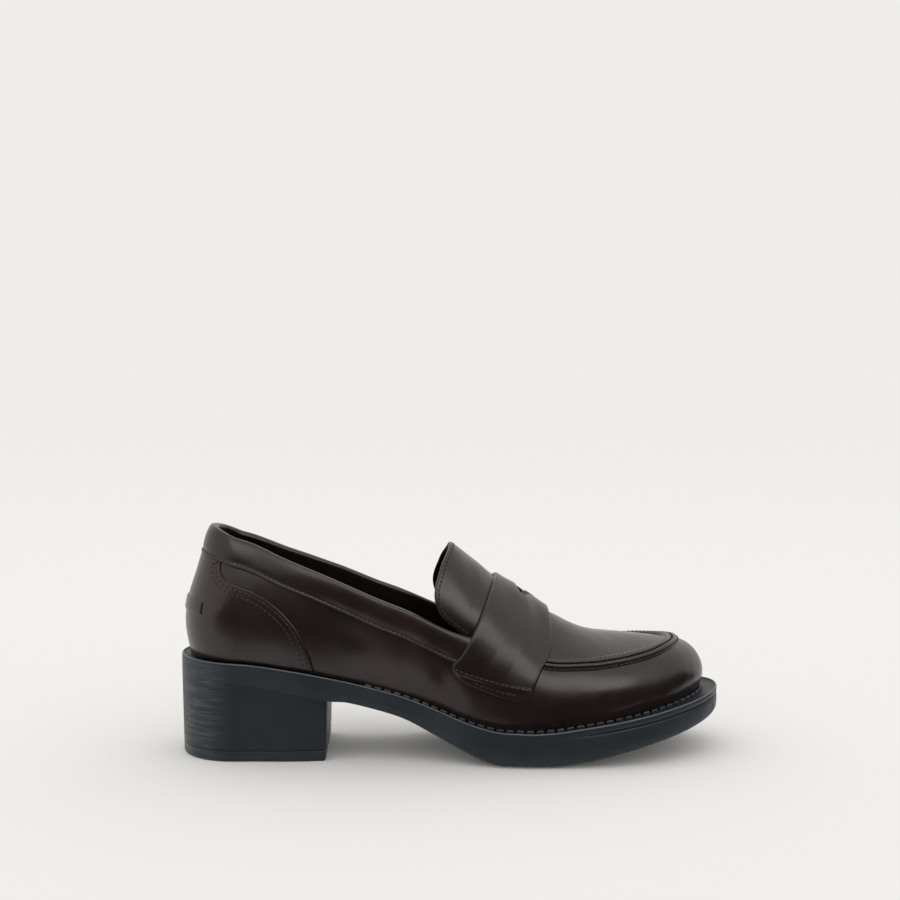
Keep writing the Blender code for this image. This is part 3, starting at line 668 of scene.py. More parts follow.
def moulded(name, dark, light, roughness, streak=0.35, scuff_and_sheen="#5c6063"):
    """Moulded rubber: a spark-eroded skin, faint flow marks, and lighter streaks across the heel's back,
    partly scuffs and partly a painted highlight.
    """
    material, tree, shader, place = start_material(name)
    drift = add(tree, "ShaderNodeTexNoise", Vector=place, Scale=per_mm(30), Detail=4.0, Roughness=0.6)
    colour = ramp(tree, drift.outputs["Fac"], ((0.35, linear(dark)), (0.7, linear(light))))
    stretch = add(tree, "ShaderNodeMapping", Vector=place, Scale=(per_mm(22), per_mm(22), per_mm(1.3)))
    flow = add(tree, "ShaderNodeTexNoise", Vector=stretch.outputs[0], Scale=1.0, Detail=5.0, Roughness=0.65,
               Distortion=0.5)
    along = add(tree, "ShaderNodeSeparateXYZ", Vector=place).outputs["X"]
    rear = add(tree, "ShaderNodeMapRange", Value=along, From_Min=SCUFF_AND_SHEEN_RANGE[0] * MM, From_Max=SCUFF_AND_SHEEN_RANGE[1] * MM,
               To_Min=0.0, To_Max=1.0)
    lines = ramp(tree, flow.outputs["Fac"], ((0.44, grey(0.12)), (0.66, grey(1.0))))
    worn_and_sheen = add(tree, "ShaderNodeTexNoise", Vector=place, Scale=per_mm(14), Detail=3.0)
    patchy = ramp(tree, worn_and_sheen.outputs["Fac"], ((0.36, grey(0.3)), (0.60, grey(1.0))))
    # Lighter streaks on the heel's back: partly scuffs, partly a painted highlight
    rubbed_and_sheen = add(tree, "ShaderNodeMath", {"operation": "MULTIPLY"}, _0=rear.outputs[0], _1=lines)
    rubbed_and_sheen = add(tree, "ShaderNodeMath", {"operation": "MULTIPLY"}, _0=rubbed_and_sheen.outputs[0], _1=patchy)
    colour = add(tree, "ShaderNodeMix", {"data_type": "RGBA"}, Factor=rubbed_and_sheen.outputs[0], _6=colour,
                 _7=linear(scuff_and_sheen)).outputs[2]
    tree.links.new(colour, shader.inputs["Base Color"])
    patch = add(tree, "ShaderNodeTexNoise", Vector=place, Scale=per_mm(20), Detail=2.0)
    where = ramp(tree, patch.outputs["Fac"], ((0.45, grey(0.0)), (0.62, grey(1.0))))
    marks = add(tree, "ShaderNodeMath", {"operation": "MULTIPLY"}, _0=flow.outputs["Fac"], _1=where)
    dull = grey(roughness + 0.10 + streak * 0.1)
    gloss = ramp(tree, marks.outputs[0], ((0.0, grey(roughness)), (0.6, dull)))
    tree.links.new(gloss, shader.inputs["Roughness"])
    spark = add(tree, "ShaderNodeTexNoise", Vector=place, Scale=per_mm(0.5), Detail=2.0)
    fine = add(tree, "ShaderNodeBump", Height=spark.outputs["Fac"], Strength=0.12, Distance=0.05 * MM)
    drawn = add(tree, "ShaderNodeBump", Height=marks.outputs[0], Strength=0.10 + streak, Distance=0.2 * MM,
                Normal=fine.outputs[0])
    tree.links.new(drawn.outputs[0], shader.inputs["Normal"])
    shader.inputs["IOR"].default_value = 1.36
    return material


def plain_grain(name, dark, light, roughness, size, strength, sheen=0.5):
    """Lining leather, board or thread: a matt tone that drifts, over a grain of this size in millimetres."""
    material, tree, shader, place = start_material(name)
    drift = add(tree, "ShaderNodeTexNoise", Vector=place, Scale=per_mm(size * 12), Detail=4.0)
    colour = ramp(tree, drift.outputs["Fac"], ((0.35, linear(dark)), (0.65, linear(light))))
    tree.links.new(colour, shader.inputs["Base Color"])
    grain = add(tree, "ShaderNodeTexNoise", Vector=place, Scale=per_mm(size), Detail=4.0)
    bump = add(tree, "ShaderNodeBump", Height=grain.outputs["Fac"], Strength=strength, Distance=0.0001)
    tree.links.new(bump.outputs[0], shader.inputs["Normal"])
    shader.inputs["Roughness"].default_value = roughness
    shader.inputs["Specular IOR Level"].default_value = sheen
    return material


# Dyed through and waxed: nearly black in the shade and warm brown in the light, with long soft highlights
CALF = calfskin("polished_burgundy_calf", "#1b1211", "#281918", 0.31, 0.15, 0.05)
# Cut edges sealed with dark ink, which dries matt
EDGE_INK = plain_grain("inked_cut_edge", "#0b0808", "#151010", 0.5, 0.8, 0.5)
# Painted shade: near-black for the dark of the needle holes and of the apron seam's deep groove
HOLE_SHADE = plain_grain("painted_hole_shade", "#040303", "#070505", 0.7, 0.5, 0.3)
# Unfinished pigskin, black and dull; its near-black also paints the shade inside the shoe
LINING_AND_SHADE = plain_grain("black_lining_and_painted_shade", "#040303", "#080707", 0.7, 0.7, 0.6, sheen=0.12)
# Smooth sock leather, a little shinier than the lining
SOCK = plain_grain("black_sock_leather", "#060506", "#0b0a0c", 0.5, 0.9, 0.4)
# Twisted and waxed thread, a shade lighter than the calf
THREAD = plain_grain("waxed_polyester_thread", "#2f221f", "#4b3934", 0.45, 0.25, 0.8)
# Black rubber from a steel tool; the blue-grey of the room's reflection in its satin skin is painted into its
# colour
RUBBER = moulded("satin_moulded_rubber", "#22282e", "#2b3138", 0.38)
# The heel block's denser rubber, a little darker, with the same painted blue-grey reflection
HEEL_RUBBER = moulded("satin_heel_rubber", "#191e24", "#21272e", 0.40)
# The welt's edge: a painted highlight, a thin light line in a lighter colour than the rubber
WELT_RIM_HIGHLIGHT = plain_grain("welt_rim_painted_highlight", "#4b5155", "#5c6266", 0.32, 0.6, 0.2)
# Stitches moulded in one with the welt, coloured lighter than its rubber as a painted highlight on their tops
WELT_STITCH_AND_HIGHLIGHT = plain_grain("moulded_welt_stitch_painted_highlight", "#262c30", "#3d454a", 0.40, 0.5, 0.4)

# The leather pieces

# The strap's lower end as a height on the last, and the last's side from feather line to top line in metres
STRAP_FOOT, SIDE_LENGTH = 0.44, 0.045
# The strap's width, and the radii of its foot's rear and front corner, in millimetres
STRAP_WIDTH, STRAP_CORNERS = 30, (6.5, 2.5)
# How wide the strap is beside its slot, and how wide its rolled edge is, in millimetres
STRAP_PART, STRAP_ROLL = 14, 1.1
# How long the tongue is from its free edge to the throat, and how wide its turned edge is, in millimetres
TONGUE_LENGTH, TONGUE_ROLL = 50, 1.0
# Where the strap's stitched lip ends over its foot, in millimetres
LIP = 4.6
# Numbers of lines up the side, round the shoe and over the arch
SIDE_LINES, RING_STEPS, ARCH_LINES = 46, 180, 26
# The leather's soft waves: how long and how high they are, in millimetres
WAVES = ((46, 0.16), (31, 0.10), (19, 0.06), (12, 0.03))
# The main creases of the leather, on the lateral side: from x, z to x, z measured from the heel's back
# and the ground, then half width and height, all in millimetres. A height below zero is a trough.
CREASES = (
    (163, 79, 168, 62, 3.0, -0.40),
    (157, 80, 160, 68, 3.5, 0.25),
    (135, 91, 138, 74, 4.0, -0.35),
    (11, 74.5, 20, 72, 1.0, -0.25),
    (193, 34, 208, 37, 5.0, 0.30),
    (194, 49, 193, 34, 3.0, -0.20),
    (123, 40, 131, 29, 4.0, -0.25),
    (70, 62, 88, 56, 5.0, -0.30),
)


def creased(side, point):
    """How far the creases lift the leather at these points of the last, in metres."""
    lift = 0
    for x, z, to_x, to_z, width, reach in CREASES:
        start, way = np.array((x, z)) * MM, np.array((to_x - x, to_z - z)) * MM
        off = point[..., (0, 2)] - start
        share = np.clip(off @ way / (way @ way), 0, 1)
        away = np.linalg.norm(off - share[..., None] * way, axis=-1) / (width * MM)
        lift = lift + reach * MM * np.exp(-away ** 2)
    return lift * (side == LATERAL)


def relief(side, station, height):
    """The soft rise and fall of the lasted leather, in metres."""
    point = last_surface(side, station, np.minimum(height, 2))
    lift = 0
    for turn, (size, reach) in enumerate(WAVES):
        way = np.array((math.cos(1.9 * turn + 0.4), math.sin(2.3 * turn + 1.1), math.sin(1.3 * turn)))
        lift = lift + reach * MM * np.sin(point @ way * 2 * math.pi / (size * MM) + 1.7 * turn)
    return lift * np.clip(np.abs(height - 1) / 0.3, 0.25, 1) + creased(side, point)


def make_upper():
    """The lasted upper: its sides all round and the apron in front of the throat, with its lining inside."""
    stations = np.linspace(0, 1, RING_STEPS + 1)
    side, station = ring_of(stations)
    side, station = np.append(side, side[0]), np.append(station, station[0])
    heights = np.linspace(0, 1, SIDE_LINES)[:, None]
    first = stations[np.searchsorted(stations, throat_station())]
    arch_side, arch_height = across(np.linspace(1, 2, ARCH_LINES))
    sheets = []
    for place in ((side, station, heights), (arch_side, stations[stations >= first], arch_height)):
        place = np.broadcast_arrays(*place)
        lift = relief(*place)
        sheets.append((last_surface(*place), on_last(*place, lift), on_last(*place, lift - UPPER_WALL), None))
    piece = skin("upper_leather", sheets, (CALF, LINING_AND_SHADE, EDGE_INK))
    return settle(piece, "polished_calf", "upper")


def sheet_on(side, station, height, low, high, roll=1.0):
    """The outer and inner face of a sheet on the last, between two lifts, with its border rolled over."""
    ground_lift = relief(*np.broadcast_arrays(side, station, height))
    outer = on_last(side, station, height, ground_lift + low + (high - low) * roll)
    inner = on_last(side, station, height, ground_lift + low)
    return outer, inner


def make_strap():
    """The saddle strap: a folded band over the vamp, with a slot across its top and a stitched lip at
    each end."""
    sides = STRAP_FOOT + eased(1.0, 0.02, 42)[:-6] * (1 - STRAP_FOOT)
    side, height = across(np.concatenate((sides, np.linspace(1, 2, 49)[1:])))
    rear, front = strap_stations(side, height, "rear"), strap_stations(side, height, "front")
    reach = np.clip(np.abs(height[:, 0] - SLOT_END) / (2 - SLOT_END), 0, 1)
    half = SLOT_HALF * (SLOT_CORNER + (1 - SLOT_CORNER) * reach * reach * (3 - 2 * reach))
    before, behind = (SLOT_MIDDLE - half)[:, None], (SLOT_MIDDLE + half)[:, None]
    part = eased(STRAP_PART * MM, STRAP_ROLL * MM, 10)
    shares = np.concatenate((before * part, behind + (1 - behind) * part), axis=1)
    end = (height - STRAP_FOOT) * SIDE_LENGTH
    cuts = []
    for size in STRAP_CORNERS:
        missing = np.clip(1 - end / (size * MM), 0, 1)
        cuts.append(size / STRAP_WIDTH * (1 - np.sqrt(1 - missing ** 2)))
    place = cuts[0] + shares * (1 - cuts[0] - cuts[1])
    station = np.array(rear)[:, None] * (1 - place) + np.array(front)[:, None] * place
    height = height - STRAP_SLANT * np.clip(STRAP_SQUARE - height, 0, 1) * (place - 0.5)
    open_rows = height[:, :1] > SLOT_END
    to_slot = np.minimum(np.abs(shares - before), np.abs(shares - behind)) * STRAP_WIDTH * MM
    to_slot = np.where(open_rows, to_slot, 1)
    depth = np.minimum(np.minimum(shares, 1 - shares) * STRAP_WIDTH * MM, np.minimum(end, to_slot))
    roll = np.sqrt(1 - (1 - np.clip(depth / (STRAP_ROLL * MM), 0, 1)) ** 2)
    lip = np.clip((end - LIP * MM) / (0.5 * MM), 0, 1)
    high = STRAP_LIFT + STRAP_THICKNESS + 0.15 * MM * np.sin(math.pi * shares) - (1 - lip) * 0.5 * MM
    high = high + 0.25 * MM * np.exp(-((end - (LIP + 1) * MM) / (0.8 * MM)) ** 2)
    outer, inner = sheet_on(side, station, height, 0.25 * MM, high, roll)
    left_out = np.zeros((outer.shape[0] - 1, outer.shape[1] - 1), bool)
    left_out[:, len(part) - 1] = (open_rows[:-1] | open_rows[1:])[:, 0]
    piece = skin("saddle_strap", [(outer, outer, inner, left_out)], (CALF, LINING_AND_SHADE, EDGE_INK))
    settle(piece, "polished_calf", "strap")
    return piece, outer, outer - inner


def make_tongue():
    """The tongue, lined, with a turned and stitched edge."""
    edge = smooth(TONGUE_EDGE, "rear", "height")
    side, height = across(np.concatenate((np.linspace(0.87, 0.98, 6), np.linspace(1, 2, 44))))
    rise = height[:, 0]
    backs = [station_at(s, float(edge(h)) * SOLE_LENGTH, h) for s, h in zip(side[:, 0], rise)]
    backs = backs + (side[:, 0] == MEDIAL) * FAR_EDGE * np.sin(math.pi * np.clip(rise - 1, 0, 1))
    fronts = throat_station() - TONGUE_CLEARANCE
    share = eased(TONGUE_LENGTH * MM, TONGUE_ROLL * MM, 30)[:-5]
    share = share / share[-1]
    station = backs[:, None] * (1 - share) + fronts * share
    tuck = (UPPER_WALL + 2 * FIT_GAP) * (1 - np.clip((height - 1) / TUCK_REACH, 0, 1)) ** 2
    depth = np.clip(share * TONGUE_LENGTH / TONGUE_ROLL, 0, 1)
    pinch = (1 - np.sqrt(1 - (1 - depth) ** 2)) * TONGUE_THICKNESS * 0.42
    shown = np.clip((height - 1.1) / 0.5, 0, 1) * relief(*np.broadcast_arrays(side, station, height))
    outer = on_last(side, station, height, shown - tuck - pinch)
    inner = on_last(side, station, height, shown - tuck - TONGUE_THICKNESS + pinch)
    piece = skin("standing_tongue", [(outer, outer, inner, None)], (CALF, LINING_AND_SHADE, CALF))
    settle(piece, "polished_calf", "tongue")
    return piece, outer, outer - inner


# How far the inner and outer faces of the counter and of the back strip lie over the last, in millimetres
COUNTER_FACES, STRIP_FACES = (0.1, 0.95), (0.8, 1.55)
# How long half of each is round the heel, how high the strip is, and how wide their rolled edges are, all
# in millimetres
COUNTER_RUN, STRIP_RUN, STRIP_HEIGHT = 75, 24, 7
COUNTER_ROLL, STRIP_ROLL = 0.9, 0.6
# How far under the feather line the counter reaches, as a share of the back's height, how much it slants
# forward there, and the share of the last's height left free between it and the collar band
COUNTER_TUCK, TUCK_SLANT, BAND_GAP = 0.09, 0.06, 0.003


def faces_over(side, station, height, faces, roll):
    """sheet_on between two lifts in millimetres."""
    return sheet_on(side, station, height, faces[0] * MM, faces[1] * MM, roll)


def make_counter():
    """The counter round the heel, its cut edge skived thin under two rows of stitches."""
    edge = smooth(COUNTER_EDGE, "along", "up")
    turn_in = eased(COUNTER_RUN * MM, COUNTER_ROLL * MM, 40)
    turn = np.concatenate((1 - turn_in[:-1], turn_in))
    side = np.array([MEDIAL] * (len(turn_in) - 1) + [LATERAL] * len(turn_in))
    rows, unders = [], []
    top = COUNTER_EDGE[-1].up
    for up in np.linspace(-COUNTER_TUCK, top, 54):
        x = float(edge(max(up, 0)) - min(up, 0) * TUCK_SLANT) * SOLE_LENGTH
        z = HEEL_SEAT_RISE + FIT_GAP + BACK_HEIGHT * up
        ends = {s: place_on_side(s, x, max(z, deck(x) + FIT_GAP)) for s in (LATERAL, MEDIAL)}
        end = np.array([ends[s] for s in side])
        station = end[:, 0] * turn
        ceiling = band_bottom(side, station) - BAND_GAP
        front = np.minimum(1, end[:, 1] / ceiling[0]) if up < top else 1
        rise = max(up, 0) / top
        share = rise + (front - rise) * turn ** 2
        height = share * ceiling
        reach = np.clip((1 - turn) * COUNTER_RUN / COUNTER_ROLL, 0, 1)
        roll = 0.15 + 0.85 * np.sqrt(1 - (1 - reach) ** 2)
        outer, inner = faces_over(side, station, height, COUNTER_FACES, roll)
        rows.append(outer)
        unders.append(inner)
    rows, unders = np.array(rows), np.array(unders)
    piece = skin("heel_counter", [(rows, rows, unders, None)], (CALF, LINING_AND_SHADE, EDGE_INK))
    settle(piece, "polished_calf", "counter")
    return piece, rows, rows - unders


def band_ends():
    """Where the collar band stops behind the strap, on each side, at its lower edge and at the rim."""
    edge = smooth(STRAP_CUTS, "rear", "height")
    ends = {}
    for one_side in (LATERAL, MEDIAL):
        for rise in (0, 1):
            height = 0.8
            for _ in range(4):
                station = station_at(one_side, float(edge(height)) * SOLE_LENGTH + 3 * MM, height)
                low = band_bottom(np.array([one_side]), np.array([station]))[0]
                height = low + (1 - low) * rise
            ends[one_side, rise] = station
    return ends


# The collar band's height, and its outer face from the folded lower edge to the rim: up from the rim, and
# out from the last, in millimetres
BAND_DROP = 12
BAND_FACE = (
    (-12, 0.1), (-12.1, 0.8), (-11.9, 1.25), (-11.5, 1.4), (-11.1, 1.3), (-10.6, 0.95), (-10.1, 1.0),
    (-9, 1.3), (-7, 1.6), (-4.5, 1.75), (-2.5, 1.7), (-1.2, 1.55),
)
# The hollow of the fold, as a row of the face, and how far the rim stands out of the last, over it and in
# from its wall
FOLD_ROW, RIM_OUT, RIM_OVER, RIM_IN = 5, 1.35, 1.45, 0.75
# The face inside the rim, down and up again behind it: up from the rim, and out from the wall's inside
BAND_LINING = ((-2, -0.75), (-6, -0.6), (-9, -0.35), (-9.2, 0), (-5, 0), (-0.3, 0))


def make_band():
    """The collar band: calf turned over the rim, a little padded, and down inside."""
    ends = band_ends()
    shares = np.linspace(0, 1, 110)
    side = np.array([MEDIAL] * 109 + [LATERAL] * 110)
    turn = np.concatenate((shares[:0:-1], shares))
    wall = -UPPER_WALL / MM - 0.15
    middle, half = (RIM_OUT + wall - RIM_IN) / 2, (RIM_OUT - wall + RIM_IN) / 2
    arc = [math.pi * k / 8 for k in range(9)]
    section = list(BAND_FACE)
    section += [(-0.2 + RIM_OVER * math.sin(angle), middle + half * math.cos(angle)) for angle in arc]
    section += [(up, wall + out) for up, out in BAND_LINING]
    section += [(0, -UPPER_WALL / MM / 2), (-0.3, 0.1), (-5, 0.1)]
    rows = []
    for number, (up, out) in enumerate(section):
        rise = min(1, 1 + up / BAND_DROP)
        station = np.array([ends[s, 0] + (ends[s, 1] - ends[s, 0]) * max(rise, 0) for s in side]) * turn
        low = band_bottom(side, station)
        height = low + (1 - low) * rise
        row = on_last(side, station, height, out * MM + relief(side, station, height))
        if number == FOLD_ROW:
            under_fold = on_last(side, station, height, 0)
        if up > 0:
            climb = last_surface(side, station, 1.0) - last_surface(side, station, 0.98)
            row = row + climb / np.linalg.norm(climb, axis=-1, keepdims=True) * up * MM
        rows.append(row)
    piece = swept("collar_band_leather", rows[::-1], (CALF,), caps="ends", sharp=60)
    settle(piece, "polished_calf", "collar_band")
    return piece, rows, rows[FOLD_ROW + 1] - under_fold


def make_strip():
    """The small strip over the back seam, stitched down at its ends."""
    turn_in = eased(STRIP_RUN * MM, STRIP_ROLL * MM, 16)
    turn = np.concatenate((TAB_REACH * turn_in[:0:-1], TAB_REACH * turn_in))
    side = np.array([MEDIAL] * (len(turn_in) - 1) + [LATERAL] * len(turn_in))
    up = eased(STRIP_HEIGHT * MM, STRIP_ROLL * MM, 6)[:, None]
    height = TAB_LOW + (TAB_HIGH - TAB_LOW) * up
    depth = np.minimum(np.minimum(up, 1 - up) * STRIP_HEIGHT, (TAB_REACH - turn) / TAB_REACH * STRIP_RUN)
    roll = np.sqrt(1 - (1 - np.clip(depth / STRIP_ROLL, 0, 1)) ** 2)
    outer, inner = faces_over(side, turn, height, STRIP_FACES, roll)
    piece = skin("back_strip", [(outer, outer, inner, None)], (CALF, LINING_AND_SHADE, EDGE_INK))
    settle(piece, "polished_calf", "back_tab")
    return piece, outer, outer - inner


# The apron seam's section in millimetres: across, from the outside in, and up. The roll lies between a
# stitched groove and a deep one, whose shade is painted near-black on the faces of the slice below.
SEAM_SHAPE = (
    (-3.5, -0.35), (-3.35, 0.28), (-3.0, 0.45), (-2.75, 0.30), (-2.55, 0.75), (-2.15, 1.30), (-1.6, 1.60),
    (-1.0, 1.55), (-0.6, 1.15), (-0.45, 0.40), (0.35, 0.35), (0.5, 0.95), (0.9, 1.25), (1.7, 1.15),
    (2.8, 0.75), (3.9, 0.25), (4.3, -0.30),
)
GROOVE_SHADE_FACES = slice(8, 11)


def make_seam():
    """The raised seam round the apron: a rolled rib between a deep groove and a stitched one."""
    first = station_at(LATERAL, STRAP_CUTS[4].front * SOLE_LENGTH - 4 * MM, 1.0)
    count = 130
    stations = np.linspace(first, 1, count)
    side = np.array([LATERAL] * count + [MEDIAL] * (count - 1))
    station = np.concatenate((stations, stations[-2::-1]))
    line = last_surface(side, station, 1.0)
    inward = last_surface(side, station, 1.02) - last_surface(side, station, 0.98)
    out = on_last(side, station, 1.0, 1.0) - PLACE - line
    along = np.gradient(line, axis=0)
    inward = inward - along * ((inward * along).sum(-1) / (along * along).sum(-1))[:, None]
    inward = inward / np.linalg.norm(inward, axis=-1, keepdims=True)
    soft = relief(side, station, np.ones(len(station)))[:, None]
    rows = [line + inward * (a * MM - SEAM_DROP) + out * (b * MM + soft) + PLACE for a, b in SEAM_SHAPE]
    slots = np.zeros((len(SEAM_SHAPE), len(station) - 1), int)
    # The deep groove's faces take the near-black painted shade
    slots[GROOVE_SHADE_FACES] = 1
    slots = slots.ravel().tolist() + [0, 0]
    piece = swept("apron_seam_roll", rows, (CALF, HOLE_SHADE), caps="ends", sharp=70, slots=slots)
    settle(piece, "polished_calf", "apron_seam")
    return piece, rows, out


def make_sock():
    """The sock over the insole, dished a little under the foot."""
    stations = np.linspace(0, 1, 90)
    share = np.concatenate((np.linspace(0, 0.08, 4), np.linspace(0.12, 0.88, 14), np.linspace(0.92, 1, 4)))
    along = (1 - np.cos(math.pi * stations)) / 2
    inset = SECTION["foot"](along) * BALL_WIDTH / 2 + UPPER_WALL + FIT_GAP
    near, far = (inset_point(np.full(90, s), stations, inset) for s in (LATERAL, MEDIAL))
    plan = near[None] * (1 - share[:, None, None]) + far[None] * share[:, None, None]
    floor = deck(plan[..., 0]) + FIT_GAP
    dish = (np.abs(share - 0.5) * 2)[:, None] ** 3 * 0.9 * MM
    outer = np.concatenate((plan, (floor + INSOLE_THICKNESS - 0.4 * MM + dish)[..., None]), axis=-1) + PLACE
    inner = np.concatenate((plan, floor[..., None]), axis=-1) + PLACE
    piece = skin("sock", [(outer, outer, inner, None)], (SOCK, EDGE_INK))
    return settle(piece, "lining_leather", "insole")


# The sole unit


def deck_ring(side, station, inset, under):
    """A ring of the welt this far in from its edge and under its top."""
    plan = inset_point(side, station, inset + 0 * station)
    return np.concatenate((plan, (deck(plan[:, 0]) - under)[:, None]), axis=-1) + PLACE


def toe_share(along):
    """0 behind the ball and 1 round the toe, where the welt's foot and the sole's top are set in."""
    return np.clip((along - 0.66) / 0.12, 0, 1)


# The welt's section in millimetres: in from its edge, for WELT_FOOT round the toe only, then up from its
# underside, or for WELT_TOP down from its top. Its bright rim is a painted highlight on the slice below.
WELT_FOOT = ((0.95, 0.0), (0.6, 0.25), (0.1, 0.7))
WELT_TOP = (
    (0.0, 1.2), (0.0, 0.7), (0.12, 0.3), (0.36, 0.0), (0.7, -0.12), (1.0, -0.06), (1.15, 0.4), (1.6, 0.5),
    (3.4, 0.5),
)
RIM_HIGHLIGHT_FACES = slice(7, 9)


def make_welt():
    """The welt: a flat ledge with a fine raised bead at its outer edge."""
    side, station = ring_of(np.linspace(0, 1, 221))
    along = (1 - np.cos(math.pi * station)) / 2
    foot = SECTION["foot"](along) * BALL_WIDTH / 2 + UPPER_WALL + LEDGE
    toe = toe_share(along)
    section = [(foot, WELT_THICKNESS), (1.2 * MM, WELT_THICKNESS)]
    section += [(inset * toe * MM, WELT_THICKNESS - up * MM) for inset, up in WELT_FOOT]
    section += [(inset * MM, down * MM) for inset, down in WELT_TOP]
    section.append((foot, 0.5 * MM))
    rows = [deck_ring(side, station, inset, down) for inset, down in section]
    slots = np.zeros((len(rows), len(station)), int)
    # The rim's faces take the painted highlight's lighter colour
    slots[RIM_HIGHLIGHT_FACES] = 1
    piece = swept("welt_strip", rows, (RUBBER, WELT_RIM_HIGHLIGHT), caps="ring", sharp=60, slots=slots.ravel())
    settle(piece, "moulded_rubber", "welt")
    return piece


def make_outsole():
    """The moulded sole: a smooth wall with a rounded foot, and a raised deck that the welt lies round."""
    side, station = ring_of(np.linspace(0, 1, 221))
    along = (1 - np.cos(math.pi * station)) / 2
    foot = SECTION["foot"](along) * BALL_WIDTH / 2 + UPPER_WALL + LEDGE + FIT_GAP
    wall = smooth([Corner(share, inset) for inset, share in SOLE_PROFILE], "along", "up")
    over_heel = np.clip((along * SOLE_LENGTH - HEEL_DEPTH) / (9 * MM), 0, 1) ** 1.5
    rows = []
    for share in np.linspace(0, 1, 26) ** 1.4:
        inset = float(wall(share)) * (toe_share(along) if share > 0.6 else over_heel)
        plan = inset_point(side, station, inset)
        low, high = ground(plan[:, 0]), deck(plan[:, 0]) - WELT_THICKNESS
        rows.append(np.concatenate((plan, (low + (high - low) * share)[:, None]), axis=-1) + PLACE)
    rows.append(deck_ring(side, station, foot, WELT_THICKNESS + 0.02 * MM))
    rows.append(deck_ring(side, station, foot, 0))
    piece = capped("moulded_outsole", rows, (RUBBER,), sharp=60)
    return settle(piece, "moulded_rubber", "outsole")


def heel_outline(inset, corner=1.6 * MM):
    """The heel's plan from the back round to the breast and back, with rounded breast corners."""
    stations = np.linspace(0, station_at_edge(HEEL_DEPTH - corner), 40)
    turn = np.linspace(0, math.pi / 2, 6)[1:]
    outlines = []
    for side in (LATERAL, MEDIAL):
        line = inset_point(np.full(40, side), stations, np.full(40, inset))
        x = HEEL_DEPTH - corner + (corner - inset) * np.sin(turn)
        y = line[-1, 1] - side * (corner - inset) * (1 - np.cos(turn))
        outlines.append(np.concatenate((line, np.stack((x, y), axis=-1))))
    return np.concatenate((outlines[0], outlines[1][:0:-1]))


def station_at_edge(x):
    """The station where the welt's edge passes x."""
    return math.acos(1 - 2 * x / SOLE_LENGTH) / math.pi


# The top lift's section in millimetres: up, and in from the heel's side
LIFT_SHAPE = ((0, 1.0), (0.25, 0.45), (0.8, 0.15), (1.5, 0.05), (4.3, 0.05), (4.75, 0.2), (4.95, 0.5))
# Heights of the heel's rows as shares of its height, close together at its foot and its top
HEEL_SHARES = (0, 0.01, 0.03, 0.1, 0.25, 0.5, 0.75, 0.9, 0.97, 1)


def make_heel():
    """The block heel: tapered a little, with fine buffed streaks across its back, lightened partly as a
    painted highlight.
    """
    rows = []
    for share in HEEL_SHARES:
        ease = 0.35 * MM * max(0, 1 - share / 0.03) ** 2
        plan = heel_outline(HEEL_TAPER * (1 - share) + ease)
        low = LIFT_THICKNESS + 0.12 * MM
        rise = low + (ground(plan[:, 0]) - low) * share
        rows.append(np.concatenate((plan, rise[:, None]), axis=-1) + PLACE)
    piece = capped("block_heel", rows, (HEEL_RUBBER,), sharp=50)
    return settle(piece, "moulded_rubber", "heel")


def make_lift():
    """The top lift, with a chamfered tread edge."""
    rows = []
    for up, inset in LIFT_SHAPE:
        plan = heel_outline(HEEL_TAPER + inset * MM)
        rows.append(np.concatenate((plan, (up * MM + 0 * plan[:, 0])[:, None]), axis=-1) + PLACE)
    piece = capped("heel_top_lift", rows, (RUBBER,), sharp=50)
    return settle(piece, "moulded_rubber", "top_lift")


# Stitching


def bead_tree(name, form):
    """A node tree that sets one bead, such as a stitch, on each point along its own direction."""
    tree = bpy.data.node_groups.new(name, "GeometryNodeTree")
    face = tree.interface
    face.new_socket("Geometry", in_out="INPUT", socket_type="NodeSocketGeometry")
    for label, size in (("Length", 2.0), ("Width", 0.5), ("Height", 0.4)):
        face.new_socket(label, in_out="INPUT", socket_type="NodeSocketFloat").default_value = size * MM
    face.new_socket("Material", in_out="INPUT", socket_type="NodeSocketMaterial")
    face.new_socket("Geometry", in_out="OUTPUT", socket_type="NodeSocketGeometry")
    given = add(tree, "NodeGroupInput").outputs
    vector = {"data_type": "FLOAT_VECTOR"}
    along = add(tree, "GeometryNodeInputNamedAttribute", vector, Name="along").outputs[0]
    up = add(tree, "GeometryNodeInputNamedAttribute", vector, Name="up").outputs[0]
    laid = add(tree, "FunctionNodeAlignRotationToVector", {"axis": "X"}, Vector=along)
    turned = add(tree, "FunctionNodeAlignRotationToVector", {"axis": "Z", "pivot_axis": "X"},
                 Rotation=laid.outputs[0], Vector=up)
    if form == "thread":
        bead = add(tree, "GeometryNodeMeshUVSphere", Segments=8, Rings=6, Radius=0.5)
    else:
        block = add(tree, "GeometryNodeMeshCube", Vertices_X=3, Vertices_Y=3, Vertices_Z=3)
        bead = add(tree, "GeometryNodeSubdivisionSurface", Mesh=block.outputs[0], Level=1)
    size = add(tree, "ShaderNodeCombineXYZ", X=given["Length"], Y=given["Width"], Z=given["Height"])
    placed = add(tree, "GeometryNodeInstanceOnPoints", Points=given["Geometry"], Instance=bead.outputs[0],
                 Rotation=turned.outputs[0], Scale=size.outputs[0])
    real = add(tree, "GeometryNodeRealizeInstances", Geometry=placed.outputs[0])
    round_faces = add(tree, "GeometryNodeSetShadeSmooth", Geometry=real.outputs[0])
    finished = add(tree, "GeometryNodeSetMaterial", Geometry=round_faces.outputs[0],
                   Material=given["Material"])
    add(tree, "NodeGroupOutput", Geometry=finished.outputs[0])
    return tree


ROUND_BEADS = bead_tree("round_beads_along_a_seam", "thread")
BLOCK_BEADS = bead_tree("blocks_along_a_seam", "block")


